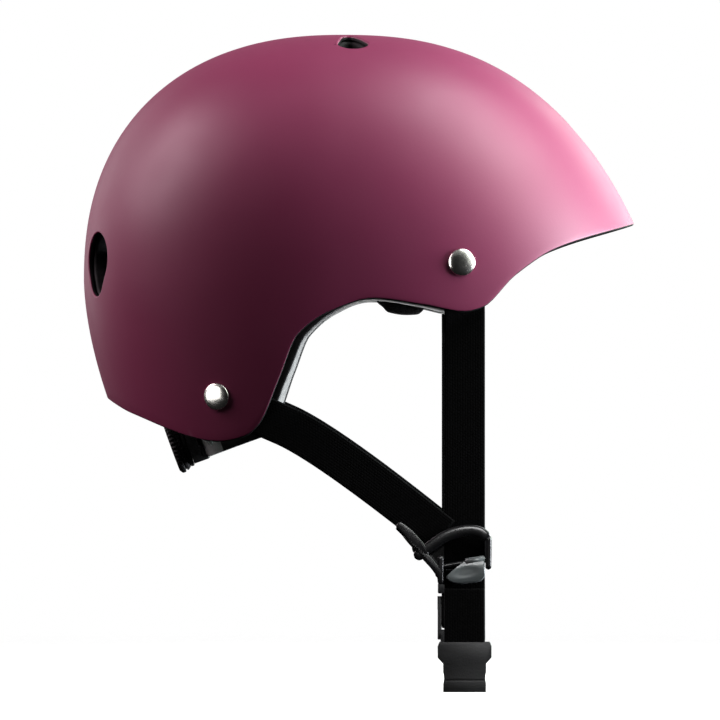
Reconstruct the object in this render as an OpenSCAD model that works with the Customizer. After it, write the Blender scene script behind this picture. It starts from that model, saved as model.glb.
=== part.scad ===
// Skate-style BMX helmet with a foam liner, riveted chin straps and a dial-fit cradle.
// +X is the front, +Y the wearer's left and +Z up. The origin is the middle of the head cavity.

/* [Shell] */
// Height of the crown above the middle of the head cavity
crown_h = 102.5; // [96:0.5:112]
// Distance of the crown behind the middle of the cavity
crown_back = 4; // [0:0.5:8]
// Half length of the curve that runs from the crown to the brim
front_len = 178; // [168:1:188]
// Depth of that front curve below the crown
front_depth = 289; // [270:1:300]
// Half length of the curve from the crown to the back
rear_len = 129; // [122:1:136]
// Depth of the rear curve below the crown
rear_depth = 122.5; // [115:0.5:130]
// Half width of the shell
half_width = 106; // [100:1:112]
// Depth of the side curve below the crown
side_depth = 120.5; // [112:0.5:128]
// Squareness of the front, rear and side curves, 2 being an ellipse
curve_round = 2.35; // [2.1:0.05:2.6]
// Squareness of the shell seen from above
plan_round = 2.2; // [2:0.05:2.5]
// How far the back draws in again, 60 mm below its widest point
rear_tuck = 12.2; // [8:0.2:14]
// How far the sides draw in again, 60 mm below their widest point
side_tuck = 2.7; // [1:0.1:4]
// Distance below the widest point at which both are measured
tuck_drop = 60; // [55:1:65]
// Thickness of the moulded shell
shell_t = 2.4; // [1.8:0.1:3.4]

/* [Shell edge] */
// Height of the brim's tip
brim_z = 7.5; // [4:0.5:12]
// Place of the highest point of the ear arch
arch_x = 11; // [6:0.5:16]
// Height of the ear arch's highest point
arch_z = -30; // [-34:0.5:-26]
// Place of the lobe between the ear arch and the brim, where the front strap leaves
lobe_x = 56.5; // [53:0.5:60]
// Height of that lobe's lowest point
lobe_z = -36.5; // [-40:0.5:-34]
// Place of the lowest point behind the ear
heel_x = -64; // [-68:0.5:-60]
// Height of the lowest point behind the ear
heel_z = -100.5; // [-104:0.5:-98]
// Height of the edge at the middle of the back
back_z = -76; // [-80:0.5:-72]

/* [Vents] */
// Radius of a crown petal's wide end
petal_r = 7.5; // [6:0.25:9]
// Radius of a crown petal's narrow end
petal_tip_r = 3; // [2:0.25:4]
// Distance from the crown's middle to the inner end of a side petal
petal_in = 20; // [16:1:24]
// Distance from the crown's middle to the outer end of a side petal
petal_out = 47; // [42:1:52]
// Outer end of the front and rear petals, from the crown's middle
petal_long_out = 61; // [56:1:66]
// How far the side petals turn forward, in degrees
petal_turn = 8; // [0:1:14]
// Radius of the round brow vent's wide end
brow_vent_r = 11; // [8:0.5:13]
// Height of the brow vent's middle
brow_vent_z = 48; // [42:1:54]
// Radius of a rear vent's wide upper end
rear_vent_r = 13.5; // [11:0.25:15]
// Radius of its narrower lower end
rear_vent_low_r = 9; // [7:0.25:10]
// Distance between the middles of the two ends
rear_vent_run = 9.2; // [6:0.2:12]
// Distance of the rear vents' middles from the middle of the shell
rear_vent_y = 40; // [36:0.5:44]
// Height of the rear vents' middles
rear_vent_z = -12.5; // [-18:0.5:-6]

/* [Liner and pads] */
// Thickness of the foam liner
liner_t = 22; // [18:0.5:25]
// Gap between the shell and the liner
liner_gap = 0.5; // [0.3:0.1:1]
// Room for the strap tabs between the shell and the liner's lower sides
strap_room = 4.5; // [4:0.25:5.5]
// How far the liner's edge stands up from the shell's edge at the back
liner_recess = 3; // [2:0.5:5]
// How far it stands up from the brim
brim_recess = 6; // [4:0.5:8]
// How far the liner shows past the shell at the back of the ear arch
liner_lip = 4; // [2:0.5:6]
// How far the liner shows below the shell along the ear arch
liner_show = 1; // [0:0.5:3]
// How far the side pads reach below the liner
pad_show = 5; // [2:0.5:7]
// Lowest height of the side pads, clear of the cradle
side_pad_low = -62; // [-66:1:-50]
// Upper edge of the side pads
side_pad_high = 22; // [14:1:30]
// Lower edge of the brow pad
front_pad_low = 4; // [0:1:8]
// Upper edge of the brow pad
front_pad_high = 34; // [28:1:40]
// Lower edge of the rear pad
rear_pad_low = -38; // [-44:1:-32]
// Upper edge of the rear pad
rear_pad_high = 0; // [-6:1:6]
// Thickness of a comfort pad at its crown
pad_t = 7; // [5:0.5:9]
// Gap between a pad and the liner
pad_gap = 0.6; // [0.5:0.1:1]

/* [Rivets] */
// Radius of a rivet's domed head
rivet_r = 6.8; // [5.5:0.1:7.5]
// Height of a rivet's domed head
rivet_h = 2.6; // [2:0.1:3.4]
// Radius of a rivet's shank
shank_r = 2.2; // [1.8:0.1:2.6]
// Clearance round a shank in its hole
shank_gap = 0.2; // [0.15:0.05:0.4]
// Height of the front rivet above the lobe's lowest point
front_rivet_up = 24.5; // [21:0.5:27]
// Place of the rear rivet
rear_rivet_x = -65.5; // [-68:0.5:-63]
// Height of the rear rivet
rear_rivet_z = -78; // [-80:0.5:-76]

/* [Straps] */
// Width of the webbing
strap_w = 20; // [18:0.5:21]
// Thickness of the webbing
strap_t = 1.5; // [1.2:0.1:1.8]
// Distance of the front strap's exit below the lobe
exit_drop = 5; // [4:0.5:7]
// Slope of the line on which the straps swing, rise over run
swing_slope = 0.567; // [0.53:0.005:0.6]
// Place of the divider's middle
divider_x = 56.5; // [54:0.5:59]
// Height of the divider's middle
divider_z = -155; // [-161:1:-150]
// Half distance between the two layers of webbing
layer_off = 0.95; // [0.95:0.05:1.2]

/* [Divider] */
// Thickness of the divider's front and back plates
plate_t = 1.9; // [1.5:0.1:2.4]
// Clearance between plates and webbing
web_gap = 0.45; // [0.3:0.05:0.7]
// Radius of the lock flap's pivot pin
flap_pin_r = 1; // [0.8:0.1:1.2]
// Radial clearance of that pin in the divider's cheeks
flap_pin_gap = 0.08; // [0.05:0.01:0.1]

// Tilt of the lock flap's pivot, rising towards the front, in degrees
flap_tilt = 10; // [0:1:14]

/* [Buckle] */
// Height of the webbing bar of the socket
bar_z = -201; // [-204:1:-198]
// Radius of the webbing bars
bar_r = 1.5; // [1.2:0.1:1.8]
// Width of the buckle
buckle_w = 24; // [23:0.5:26]
// Thickness of the buckle
buckle_t = 9.4; // [8.8:0.2:11]
// Length of the socket's hollow body
socket_len = 18.5; // [16:0.5:21]
// Wall of the socket's front and back
socket_wall = 1.8; // [1.4:0.1:2.2]
// Length of the plug's prongs
prong_len = 16; // [14:0.5:18]
// Clearance between the plug's prongs and the socket
plug_gap = 0.5; // [0.3:0.1:0.8]

/* [Fit cradle] */
// Tilt of the cradle, rising towards the front, in degrees
cradle_tilt = 20; // [15:1:24]
// Distance from the band's inner face to the liner, along the plugs that hold it
band_room = 13.5; // [11:0.1:15]
// Thickness of the cradle's band
band_t = 2.2; // [1.8:0.1:2.8]
// Height of the cradle's band
band_h = 24; // [20:1:28]
// Pitch radius of the pinion
pinion_r = 6; // [5:0.25:7]
// Number of teeth on the pinion
pinion_teeth = 12; // [10:1:14]
// Height of the toothed belts
belt_h = 7; // [6:0.5:8]
// Thickness of the toothed belts
belt_t = 1.8; // [1.4:0.1:2.2]
// Radius of the dial
dial_r = 15.5; // [14:0.5:17]
// Thickness of the dial
dial_t = 6; // [5:0.5:8]
// Number of grip scallops round the dial
dial_grips = 20; // [16:1:24]

/* [Hidden] */

shell_color = "#8a3f5e";
black = "#18181a";
grey = "#b9bab8";
steel = "#c8c9cb";

shell_cols = 96;
shell_rows = 15;
liner_cols = 72;
liner_rows = 14;
bunch = 11.5;
down_power = 1.7;
rim_steps = 18;
eps = 0.01;
lip_start = 5;
lip_run = 25;
recess_start = 36;
recess_run = 14;

crown_x = -crown_back;
axis_front_z = lobe_z - exit_drop;
tail_x = crown_x - rear_len + 6;
tip_x = crown_x + half_front(brim_z);

// The edge seen from the side: back, heel, ear arch, lobe and brim, with points part of the way between them.
tail = [tail_x, back_z];
heel = [heel_x, heel_z];
arch = [arch_x, arch_z];
lobe = [lobe_x, lobe_z];
tip = [tip_x, brim_z];
function on_way(a, b, across, up) = [lerp(a[0], b[0], across), lerp(a[1], b[1], up)];
edge_line = [
    tail, on_way(tail, heel, 0.3, 0.45), heel, on_way(heel, arch, 0.16, 0.036),
    on_way(heel, arch, 0.254, 0.12), on_way(heel, arch, 0.387, 0.44), on_way(heel, arch, 0.507, 0.745),
    on_way(heel, arch, 0.733, 0.915), arch, on_way(arch, lobe, 0.55, 0.475), lobe,
    on_way(lobe, tip, 0.102, 0.048), on_way(lobe, tip, 0.295, 0.413), on_way(lobe, tip, 0.522, 0.704), tip];
edge_n = len(edge_line);

function lerp(a, b, t) = a + (b - a) * t;
function clamp01(t) = min(1, max(0, t));
function smooth(t) = let (c = clamp01(t)) c * c * (3 - 2 * c);

// A smooth curve through the edge's points that never overshoots them.
function rise(p, i) = (p[i + 1][1] - p[i][1]) / (p[i + 1][0] - p[i][0]);
function slope_at(p, i) = i == 0 ? rise(p, 0) : i == len(p) - 1 ? rise(p, i - 1)
    : rise(p, i - 1) * rise(p, i) <= 0 ? 0
    : 2 / (1 / rise(p, i - 1) + 1 / rise(p, i));
function span_of(p, x, i = 0) = i >= len(p) - 2 || x < p[i + 1][0] ? i : span_of(p, x, i + 1);
function curve_y(p, x) = let (i = span_of(p, x), h = p[i + 1][0] - p[i][0],
    t = clamp01((x - p[i][0]) / h))
    p[i][1] * (1 + 2 * t) * pow(1 - t, 2) + slope_at(p, i) * h * t * pow(1 - t, 2)
    + p[i + 1][1] * t * t * (3 - 2 * t) + slope_at(p, i + 1) * h * t * t * (t - 1);
function edge_z(x) = curve_y(edge_line, x);
// The liner's edge follows it: a little ahead behind the ear, and recessed away from the ear arch.
function liner_edge_z(x) = edge_z(x - liner_lip * smooth((arch_x - lip_start - x) / lip_run))
    + (x > arch_x ? brim_recess : liner_recess) * smooth((abs(x - arch_x - 4) - recess_start) / recess_run)
    - liner_show;

// Half lengths and half width of the level section at height z.
function dome(z, len, depth, power) =
    len * pow(1 - pow(clamp01((z - crown_h + depth) / depth), power), 1 / power);
function draw_in(z, depth, amount) = amount * pow(max(0, crown_h - depth - z) / tuck_drop, 1.7);
function half_front(z) = dome(z, front_len, front_depth, curve_round + 0.08);
function half_rear(z) = dome(z, rear_len, rear_depth, curve_round - 0.05) - draw_in(z, rear_depth, rear_tuck);
function half_side(z) = dome(z, half_width, side_depth, curve_round) - draw_in(z, side_depth, side_tuck);
function half_long(phi, z) = cos(phi) >= 0 ? half_front(z) : half_rear(z);
function reach(phi, z) = pow(pow(abs(cos(phi)) / half_long(phi, z), plan_round)
    + pow(abs(sin(phi)) / half_side(z), plan_round), -1 / plan_round);
function skin(phi, z) = let (r = reach(phi, z)) [crown_x + r * cos(phi), r * sin(phi), z];
function side_y(x, z) = let (l = x >= crown_x ? half_front(z) : half_rear(z))
    half_side(z) * pow(1 - pow(clamp01(abs(x - crown_x) / l), plan_round), 1 / plan_round);

// Outward direction of the shell, and a point sunk below its surface.
function unit(v) = v / norm(v);
function normal(phi, z) = let (e = min(1, (crown_h - z) / 3))
    unit(cross(skin(phi + 1, z) - skin(phi - 1, z), skin(phi, z + e) - skin(phi, z - e)));
function sunk(phi, z, d) = z > crown_h - eps ? [crown_x, 0, crown_h - d] : skin(phi, z) - d * normal(phi, z);
function angle_of(x, z) = atan2(side_y(x, z), x - crown_x);

// Height at which the edge of the shell, or that of the liner, crosses the direction phi.
function edge_gap(phi, z, lined) = let (x = crown_x + reach(phi, z) * cos(phi))
    z - (lined ? liner_edge_z(x) : edge_z(x));
edge_below = 1.4 * heel_z;
edge_above = brim_z + 0.5 * crown_h;
function rim_z(phi, lined = false, lo = edge_below, hi = edge_above, n = 0) = n == rim_steps ? (lo + hi) / 2
    : let (m = (lo + hi) / 2) edge_gap(phi, m, lined) > 0 ? rim_z(phi, lined, lo, m, n + 1)
    : rim_z(phi, lined, m, hi, n + 1);

function column(i, n) = let (u = 360 * i / n) u + bunch * sin(2 * u);
function row_z(low, s) = crown_h - (crown_h - low) * pow(s, down_power);

// A closed bowl between an outer and an inner grid that each start with one crown point.
module bowl(cols, rows, outer, inner) {
    shift = len(outer);
    top = [for (i = [0:cols - 1]) let (k = (i + 1) % cols) each [
        [0, 1 + k, 1 + i], [shift, shift + 1 + i, shift + 1 + k]]];
    walls = [for (j = [0:rows - 2], i = [0:cols - 1])
        let (k = (i + 1) % cols, a = 1 + j * cols, b = a + cols, c = shift)
        each [[a + i, a + k, b + k], [a + i, b + k, b + i],
            [c + a + i, c + b + k, c + a + k], [c + a + i, c + b + i, c + b + k]]];
    last = 1 + (rows - 1) * cols;
    rim = [for (i = [0:cols - 1]) let (k = (i + 1) % cols) each [
        [last + i, last + k, shift + last + k], [last + i, shift + last + k, shift + last + i]]];
    polyhedron(points = concat(outer, inner), faces = concat(top, walls, rim), convexity = 6);
}

// A closed slab between two grids of points, rows going down and columns going round.
module slab(outer, inner) {
    rows = len(outer);
    cols = len(outer[0]);
    s = rows * cols;
    faces = [for (j = [0:rows - 2], i = [0:cols - 2]) let (a = j * cols + i, b = a + cols) each [
        [a, a + 1, b + 1], [a, b + 1, b], [s + a, s + b + 1, s + a + 1], [s + a, s + b, s + b + 1]]];
    ends = [for (i = [0:cols - 2]) let (a = i, b = (rows - 1) * cols + i) each [
        [a, s + a, s + a + 1], [a, s + a + 1, a + 1], [b, b + 1, s + b + 1], [b, s + b + 1, s + b]]];
    sides = [for (j = [0:rows - 2]) let (a = j * cols, b = a + cols - 1) each [
        [a, a + cols, s + a + cols], [a, s + a + cols, s + a],
        [b, s + b, s + b + cols], [b, s + b + cols, b + cols]]];
    points = [for (side = [outer, inner], row = side) each row];
    polyhedron(points = points, faces = concat(faces, ends, sides), convexity = 6);
}

// Outline of a teardrop: a small round end at the origin and a big one at x = run.
function teardrop(small, big, run) = let (b = asin((big - small) / run), n = 10) concat(
    [for (k = [0:n]) let (a = lerp(-90 - b, 90 + b, k / n)) [run + big * cos(a), big * sin(a)]],
    [for (k = [0:n / 2]) let (a = lerp(90 + b, 270 - b, 2 * k / n)) [small * cos(a), small * sin(a)]]);

module look_along(p, d) translate(p) rotate([0, acos(d[2]), atan2(d[1], d[0])]) children();

// Vents cut square to the shell where they lie, through the liner too.
cut_in = 60;
cut_out = 15;
module crown_petal(turn, near, far, grow) {
    reach_in = near + petal_tip_r;
    translate([crown_x, 0, crown_h - cut_in]) rotate([0, 0, turn]) translate([reach_in, 0, 0])
        linear_extrude(height = cut_in + cut_out)
        polygon(teardrop(petal_tip_r + grow, petal_r + grow, far - petal_r - reach_in));
}
module vents(grow) {
    for (side = [-1, 1]) crown_petal(side * (90 - petal_turn), petal_in, petal_out, grow);
    for (turn = [0, 180]) crown_petal(turn, petal_long_out - petal_out + petal_in, petal_long_out, grow);
    look_along(skin(0, brow_vent_z), normal(0, brow_vent_z)) rotate([0, 0, 180])
        translate([-2, 0, -cut_in]) linear_extrude(height = cut_in + cut_out)
        polygon(teardrop(brow_vent_r - 5 + grow, brow_vent_r + grow, 8));
    phi = 180 - asin(rear_vent_y / (rear_len + crown_back));
    for (side = [-1, 1]) look_along(skin(side * phi, rear_vent_z), normal(side * phi, rear_vent_z))
        rotate([0, 0, 180]) translate([-(rear_vent_run + rear_vent_r - rear_vent_low_r) / 2, 0, -cut_in])
        linear_extrude(height = cut_in + cut_out)
        polygon(teardrop(rear_vent_low_r + grow, rear_vent_r + grow, rear_vent_run));
}

// Rivets: two on each side, square to the shell.
rivet_spots = [[lobe_x - 1.5, lobe_z + front_rivet_up], [rear_rivet_x, rear_rivet_z]];
module at_rivets(sides = [-1, 1]) {
    for (side = sides, spot = rivet_spots) {
        phi = side * angle_of(spot[0], spot[1]);
        look_along(skin(phi, spot[1]), normal(phi, spot[1])) children();
    }
}

module outer_shell() {
    color(shell_color) difference() {
        grid = [for (i = [0:shell_cols - 1]) let (a = column(i, shell_cols)) [a, rim_z(a)]];
        bowl(shell_cols, shell_rows,
            concat([[crown_x, 0, crown_h]], [for (j = [1:shell_rows], g = grid)
                skin(g[0], row_z(g[1], j / shell_rows))]),
            concat([[crown_x, 0, crown_h - shell_t]], [for (j = [1:shell_rows], g = grid)
                sunk(g[0], row_z(g[1], j / shell_rows), shell_t)]));
        vents(0);
        at_rivets() cylinder(h = 4 * shell_t, r = shank_r + shank_gap, center = true, $fn = 24);
    }
}

// The liner stands off the shell's lower sides to leave room for the strap tabs.
room_top = 28;
room_run = 20;
function liner_top(phi, z) = shell_t + liner_gap
    + strap_room * smooth((room_top - z) / room_run) * smooth((abs(sin(phi)) - 0.42) / 0.25);
liner_in = shell_t + liner_gap + liner_t;

module liner() {
    color(grey) difference() {
        grid = [for (i = [0:liner_cols - 1]) let (a = column(i, liner_cols))
            [a, rim_z(a, true)]];
        bowl(liner_cols, liner_rows,
            concat([[crown_x, 0, crown_h - shell_t - liner_gap]], [for (j = [1:liner_rows], g = grid)
                let (z = row_z(g[1], j / liner_rows)) sunk(g[0], z, liner_top(g[0], z))]),
            concat([[crown_x, 0, crown_h - liner_in]], [for (j = [1:liner_rows], g = grid)
                sunk(g[0], row_z(g[1], j / liner_rows), liner_in)]));
        vents(-1);
        in_cradle() at_plugs() cylinder(h = 2 * plug_len, r = plug_r + 0.25, center = true, $fn = 32);
    }
}

// A crowned pad on the liner, between two directions and from a lower to an upper height.
pad_cols = 14;
pad_rows = 8;
function swell(t) = pow(max(0, 1 - pow(abs(2 * t - 1), 3)), 0.5);
module pad_patch(from, to, low, high, rise_up = 6) {
    seat = liner_in + pad_gap;
    function spot(j, i, d) = let (phi = lerp(from, to, i / pad_cols),
        bottom = max(low, rim_z(phi, true) + rise_up)) sunk(phi, lerp(high, bottom, j / pad_rows), d);
    outer = [for (j = [0:pad_rows]) [for (i = [0:pad_cols]) spot(j, i, seat)]];
    inner = [for (j = [0:pad_rows]) [for (i = [0:pad_cols])
        spot(j, i, seat + 1 + (pad_t - 1) * swell(j / pad_rows) * swell(i / pad_cols))]];
    slab(outer, inner);
}
// Half the turn that the brow pad and the rear pad cover, and the turns between which a side pad lies.
front_pad_turn = 42;
rear_pad_turn = 30;
side_pad_from = 62;
side_pad_to = 122;
module front_pad() { color(black) pad_patch(-front_pad_turn, front_pad_turn, front_pad_low, front_pad_high); }
module rear_pad() {
    color(black) pad_patch(180 - rear_pad_turn, 180 + rear_pad_turn, rear_pad_low, rear_pad_high);
}
module side_pad() pad_patch(side_pad_from, side_pad_to, side_pad_low, side_pad_high, -pad_show);
module side_pad_left() { color(black) side_pad(); }
module side_pad_right() { color(black) mirror([0, 1, 0]) side_pad(); }

crown_pad_cols = 24;
crown_pad_rows = 4;
crown_pad_drop = 4.5;
module crown_pad() {
    seat = liner_in + pad_gap + 0.7;
    function spot(j, i) = [360 * i / crown_pad_cols, crown_h - crown_pad_drop * pow(j / crown_pad_rows, 2)];
    color(black) bowl(crown_pad_cols, crown_pad_rows,
        concat([[crown_x, 0, crown_h - seat]], [for (j = [1:crown_pad_rows], i = [0:crown_pad_cols - 1])
            let (s = spot(j, i)) sunk(s[0], s[1], seat)]),
        concat([[crown_x, 0, crown_h - seat - pad_t]], [for (j = [1:crown_pad_rows], i = [0:crown_pad_cols - 1])
            let (s = spot(j, i)) sunk(s[0], s[1], seat + 1 + (pad_t - 1) * sqrt(1 - pow(j / crown_pad_rows, 4)))]));
}

// The tabs lie on the shell's inner face at the rivets and end on the swing line.
tab_gap = 0.3;
tab_over = 11;
stack_in = shell_t + tab_gap + strap_t;
module rivets() {
    color(steel) at_rivets() rotate_extrude($fn = 48) polygon(concat(
        [[0, -stack_in - 2.2], [shank_r, -stack_in - 2.2], [shank_r, 0.05], [rivet_r - 0.4, 0.05], [rivet_r, 0.5]],
        [for (k = [1:8]) let (a = 90 * k / 8) [rivet_r * cos(a), 0.5 + (rivet_h - 0.5) * sin(a)]]));
}
module rivet_washers() {
    color(steel) at_rivets() translate([0, 0, -stack_in - 1.5]) difference() {
        cylinder(h = 1, r = rivet_r - 0.6, $fn = 48);
        translate([0, 0, -1]) cylinder(h = 3, r = shank_r + 0.05, $fn = 24);
    }
}

// The straps of one side hang in an upright plane through the swing line.
function swing_z(x) = axis_front_z + swing_slope * (x - lobe_x);
rear_exit_x = heel_x + 20;
layer_face = layer_off + strap_t / 2;
plane_front_y = side_y(lobe_x + strap_w / 2, lobe_z) - shell_t - 1;
plane_rear_y = side_y(rear_exit_x, swing_z(rear_exit_x)) - shell_t - layer_face - 0.6;
plane_turn = atan((plane_front_y - plane_rear_y) / (lobe_x - rear_exit_x));
function plane_y(x) = plane_front_y + (x - lobe_x) * tan(plane_turn);

// Local x and z as seen from the side, local y going out from the head, on the right side.
module hang_right() translate([lobe_x, -plane_front_y, 0]) rotate([0, 0, -plane_turn]) translate([-lobe_x, 0, 0])
    children();
module hang_left() mirror([0, 1, 0]) hang_right() children();
// A plate in the hanging plane from an outline in x and z, between two distances from the plane.
module plate(outline, near, far) translate([0, -near, 0]) rotate([90, 0, 0])
    linear_extrude(height = far - near) polygon(outline);

// Webbing seen from the side: a band along a path, its ends cut as they are.
function path_dir(p, i) = unit(p[min(len(p) - 1, i + 1)] - p[max(0, i - 1)]);
function side_of(p, i, w) = p[i] + w * [-path_dir(p, i)[1], path_dir(p, i)[0]];
function band(p, w) = concat([for (i = [0:len(p) - 1]) side_of(p, i, w / 2)],
    [for (i = [len(p) - 1:-1:0]) side_of(p, i, -w / 2)]);
function bend(a, b, c, t) = a * pow(1 - t, 2) + b * 2 * t * (1 - t) + c * t * t;

// The rear strap's route: from the rivet to the swing line, then sagging to the divider.
rear_slope = -0.43;
cross_x = (rear_rivet_z - rear_slope * rear_rivet_x - axis_front_z + swing_slope * lobe_x)
    / (swing_slope - rear_slope);
cross_at = [cross_x, swing_z(cross_x)];
rear_end = [divider_x - 11, divider_z + 8];
rear_mid = [divider_x - 68.5, divider_z + 54];
rear_steps = 10;
rear_route = [for (k = [0:rear_steps]) bend(cross_at, rear_mid, rear_end, k / rear_steps)];
// Room on each side of the swing line, so that the outer layer can turn up and the inner one in.
outer_cut = 1.15;
inner_cut = 0.55;
function meet(p, d, drop) = let (t = (axis_front_z - drop + swing_slope * (p[0] - lobe_x) - p[1])
    / (d[1] - swing_slope * d[0])) p + t * d;
rear_dir = path_dir(rear_route, 0);
function rear_corner(side, drop) = meet(side_of(rear_route, 0, side * strap_w / 2), rear_dir, drop);

module rear_strap() plate(concat([rear_corner(1, outer_cut)],
    [for (i = [2:rear_steps]) side_of(rear_route, i, strap_w / 2)],
    [for (i = [rear_steps:-1:4]) side_of(rear_route, i, -strap_w / 2)],
    [rear_corner(-1, outer_cut)]), layer_off - strap_t / 2, layer_off + strap_t / 2);
module rear_strap_right() { color(black) hang_right() rear_strap(); }
module rear_strap_left() { color(black) hang_left() rear_strap(); }

front_x0 = lobe_x - strap_w / 2;
front_x1 = lobe_x + strap_w / 2;
front_low = divider_z - 8;
module front_strap() plate([[front_x0, front_low], [front_x1, front_low],
    [front_x1, swing_z(front_x1) - inner_cut], [front_x0, swing_z(front_x0) - inner_cut]],
    -layer_off - strap_t / 2, -layer_off + strap_t / 2);
module front_strap_right() { color(black) hang_right() front_strap(); }
module front_strap_left() { color(black) hang_left() front_strap(); }

// Tabs: grids that leave the shell's inner face gradually for the hanging plane.
tab_rows = 8;
tab_cols = 4;
// How much longer a sideways step is than a step square to the shell.
function lean(x, z) = norm([side_y(x + 1, z) - side_y(x - 1, z), side_y(x, z + 1) - side_y(x, z - 1), 2]) / 2;
function tab_point(p, t, d, layer) = let (
    on_shell = side_y(p[0], p[1]) - (shell_t + tab_gap + d) * lean(p[0], p[1]),
    hung = plane_y(p[0]) + layer + strap_t / 2 - d)
    [p[0], -min(on_shell, lerp(on_shell, hung, smooth((t - 0.6) / 0.4))), p[1]];
function tab_grid(top, bottom, d, layer) = [for (j = [0:tab_rows]) [for (i = [0:tab_cols])
    let (a = lerp(top[0], top[1], i / tab_cols), b = lerp(bottom[0], bottom[1], i / tab_cols))
    tab_point(lerp(a, b, j / tab_rows), j / tab_rows, d, layer)]];
module tab_holes() at_rivets([-1]) cylinder(h = 16, r = shank_r + shank_gap, center = true, $fn = 24);
front_tab_top = lobe_z + front_rivet_up + tab_over;
module strap_tabs_front() {
    top = [[front_x0, front_tab_top], [front_x1, front_tab_top]];
    bottom = [[front_x0, swing_z(front_x0) + inner_cut], [front_x1, swing_z(front_x1) + inner_cut]];
    color(black) for (side = [0, 1]) mirror([0, side, 0]) difference() {
        slab(tab_grid(top, bottom, 0, -layer_off), tab_grid(top, bottom, strap_t, -layer_off));
        tab_holes();
    }
}
module strap_tabs_rear() {
    dir = unit([1, rear_slope]);
    across = [-dir[1], dir[0]] * strap_w / 2;
    start = [rear_rivet_x, rear_rivet_z] - tab_over * dir;
    top = [start - across, start + across];
    bottom = [rear_corner(-1, -outer_cut), rear_corner(1, -outer_cut)];
    color(black) for (side = [0, 1]) mirror([0, side, 0]) difference() {
        slab(tab_grid(top, bottom, 0, layer_off), tab_grid(top, bottom, strap_t, layer_off));
        tab_holes();
    }
}

// Divider: an arched front bar, a back plate and cheeks round both straps, with a pivoting lock flap.
plate_in = layer_face + web_gap;
plate_out = plate_in + plate_t;
cheek_x = front_x1 + web_gap + 1.4;
foot_x = front_x0 - web_gap - 1.4;
flap_z = divider_z - 4.5;
flap_out = plate_out - flap_pin_r - 0.9;
arch_bar = [[divider_x - 24.5, divider_z - 2.5], [divider_x - 18, divider_z + 2.5], [divider_x - 9, divider_z + 8.5],
    [divider_x, divider_z + 11], [divider_x + 7, divider_z + 10.5], [cheek_x, divider_z + 7]];
claw_edge = [[divider_x - 34.2, divider_z + 13.2], [divider_x - 28.5, divider_z + 5.8],
    [divider_x - 22.5, divider_z - 1], [divider_x - 16.5, divider_z - 7.5], [foot_x - 1.4, divider_z - 12]];
claw = concat(claw_edge, [[foot_x - 1.4, divider_z - 15.5], [foot_x + 1.4, divider_z - 15.5],
    [foot_x + 1.4, divider_z - 9], [divider_x - 17.2, divider_z - 1], [divider_x - 22, divider_z + 3.2],
    [divider_x - 28, divider_z + 7.9], [divider_x - 33, divider_z + 12]]);
// The claw's upper end also hooks over the front of the rear strap.
claw_lip = [[divider_x - 34.2, divider_z + 13.2], [divider_x - 32, divider_z + 16], [divider_x - 25.5, divider_z + 11],
    [divider_x - 20, divider_z + 5], [divider_x - 17.2, divider_z - 1], [divider_x - 22.5, divider_z - 1],
    [divider_x - 28.5, divider_z + 5.8]];
// The plate behind both straps reaches from the claw to the front strap and up under the rear one.
web_plate = concat(claw_edge, [[divider_x - 9, divider_z - 14], [divider_x - 9, divider_z + 11],
    [divider_x - 18, divider_z + 14]]);
module divider() {
    difference() {
        union() {
            plate(band(arch_bar, 5.5), plate_in, plate_out);
            plate(band(arch_bar, 5), -plate_out, -plate_in);
            plate(claw, -plate_out, plate_out);
            plate(claw_lip, plate_in, plate_out);
            plate(web_plate, -plate_out, -plate_in);
            plate([[cheek_x - 1.4, divider_z + 9], [cheek_x + 1.4, divider_z + 7.5], [cheek_x + 1.4, divider_z - 13],
                [cheek_x - 1.4, divider_z - 15]], -plate_out, plate_out);
            plate([[foot_x - 1.4, divider_z - 15.5], [cheek_x + 1.4, divider_z - 15.5], [cheek_x + 1.4, divider_z - 11],
                [foot_x - 1.4, divider_z - 11]], -plate_out, -plate_in);
            plate([[foot_x - 1.4, divider_z - 15.5], [foot_x + 1.4, divider_z - 15.5], [foot_x + 1.4, divider_z - 1.5],
                [foot_x - 1.4, divider_z - 1.5]], plate_in, plate_out);
        }
        at_flap() rotate([0, 90, 0])
            cylinder(h = strap_w + 12, r = flap_pin_r + flap_pin_gap, center = true, $fn = 24);
    }
}
module divider_right() { color(black) hang_right() divider(); }
module divider_left() { color(black) hang_left() divider(); }

flap_w = cheek_x - foot_x - 3.4;
flap_crown_r = 20;
module at_flap() translate([(cheek_x + foot_x) / 2, -flap_out, flap_z]) rotate([0, -flap_tilt, 0]) children();
// Seen from outside: pointed at the back, straight at the front, with a round lower edge.
flap_tip = -3.4;
flap_drop = 10.6;
flap_ease = 0.6;
flap_outline = concat([[flap_w / 2, 0], [-0.18 * flap_w, 0], [-0.36 * flap_w, -1.3]],
    [for (k = [0:12]) let (u = 2 * k / 12 - 1)
        [u * (flap_w / 2 - flap_ease) - flap_ease, flap_tip + (flap_drop + flap_tip) * (-sqrt(1 - u * u) - 0.35 * smooth(u))]]);
module lock_flap() {
    at_flap() {
        rotate([0, 90, 0]) cylinder(h = flap_w + 5, r = flap_pin_r, center = true, $fn = 24);
        translate([-0.18 * flap_w, 0, 0]) rotate([0, 90, 0]) cylinder(h = 0.68 * flap_w, r = flap_pin_r + 0.8, $fn = 32);
        intersection() {
            rotate([90, 0, 0]) translate([0, 0, -0.6]) linear_extrude(height = 2.6) polygon(flap_outline);
            translate([0, flap_crown_r - 2, -5]) rotate([0, 90, 0])
                cylinder(h = flap_w + 2, r = flap_crown_r, center = true, $fn = 96);
        }
    }
}
module lock_flap_right() { color(grey) hang_right() lock_flap(); }
module lock_flap_left() { color(grey) hang_left() lock_flap(); }

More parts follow.
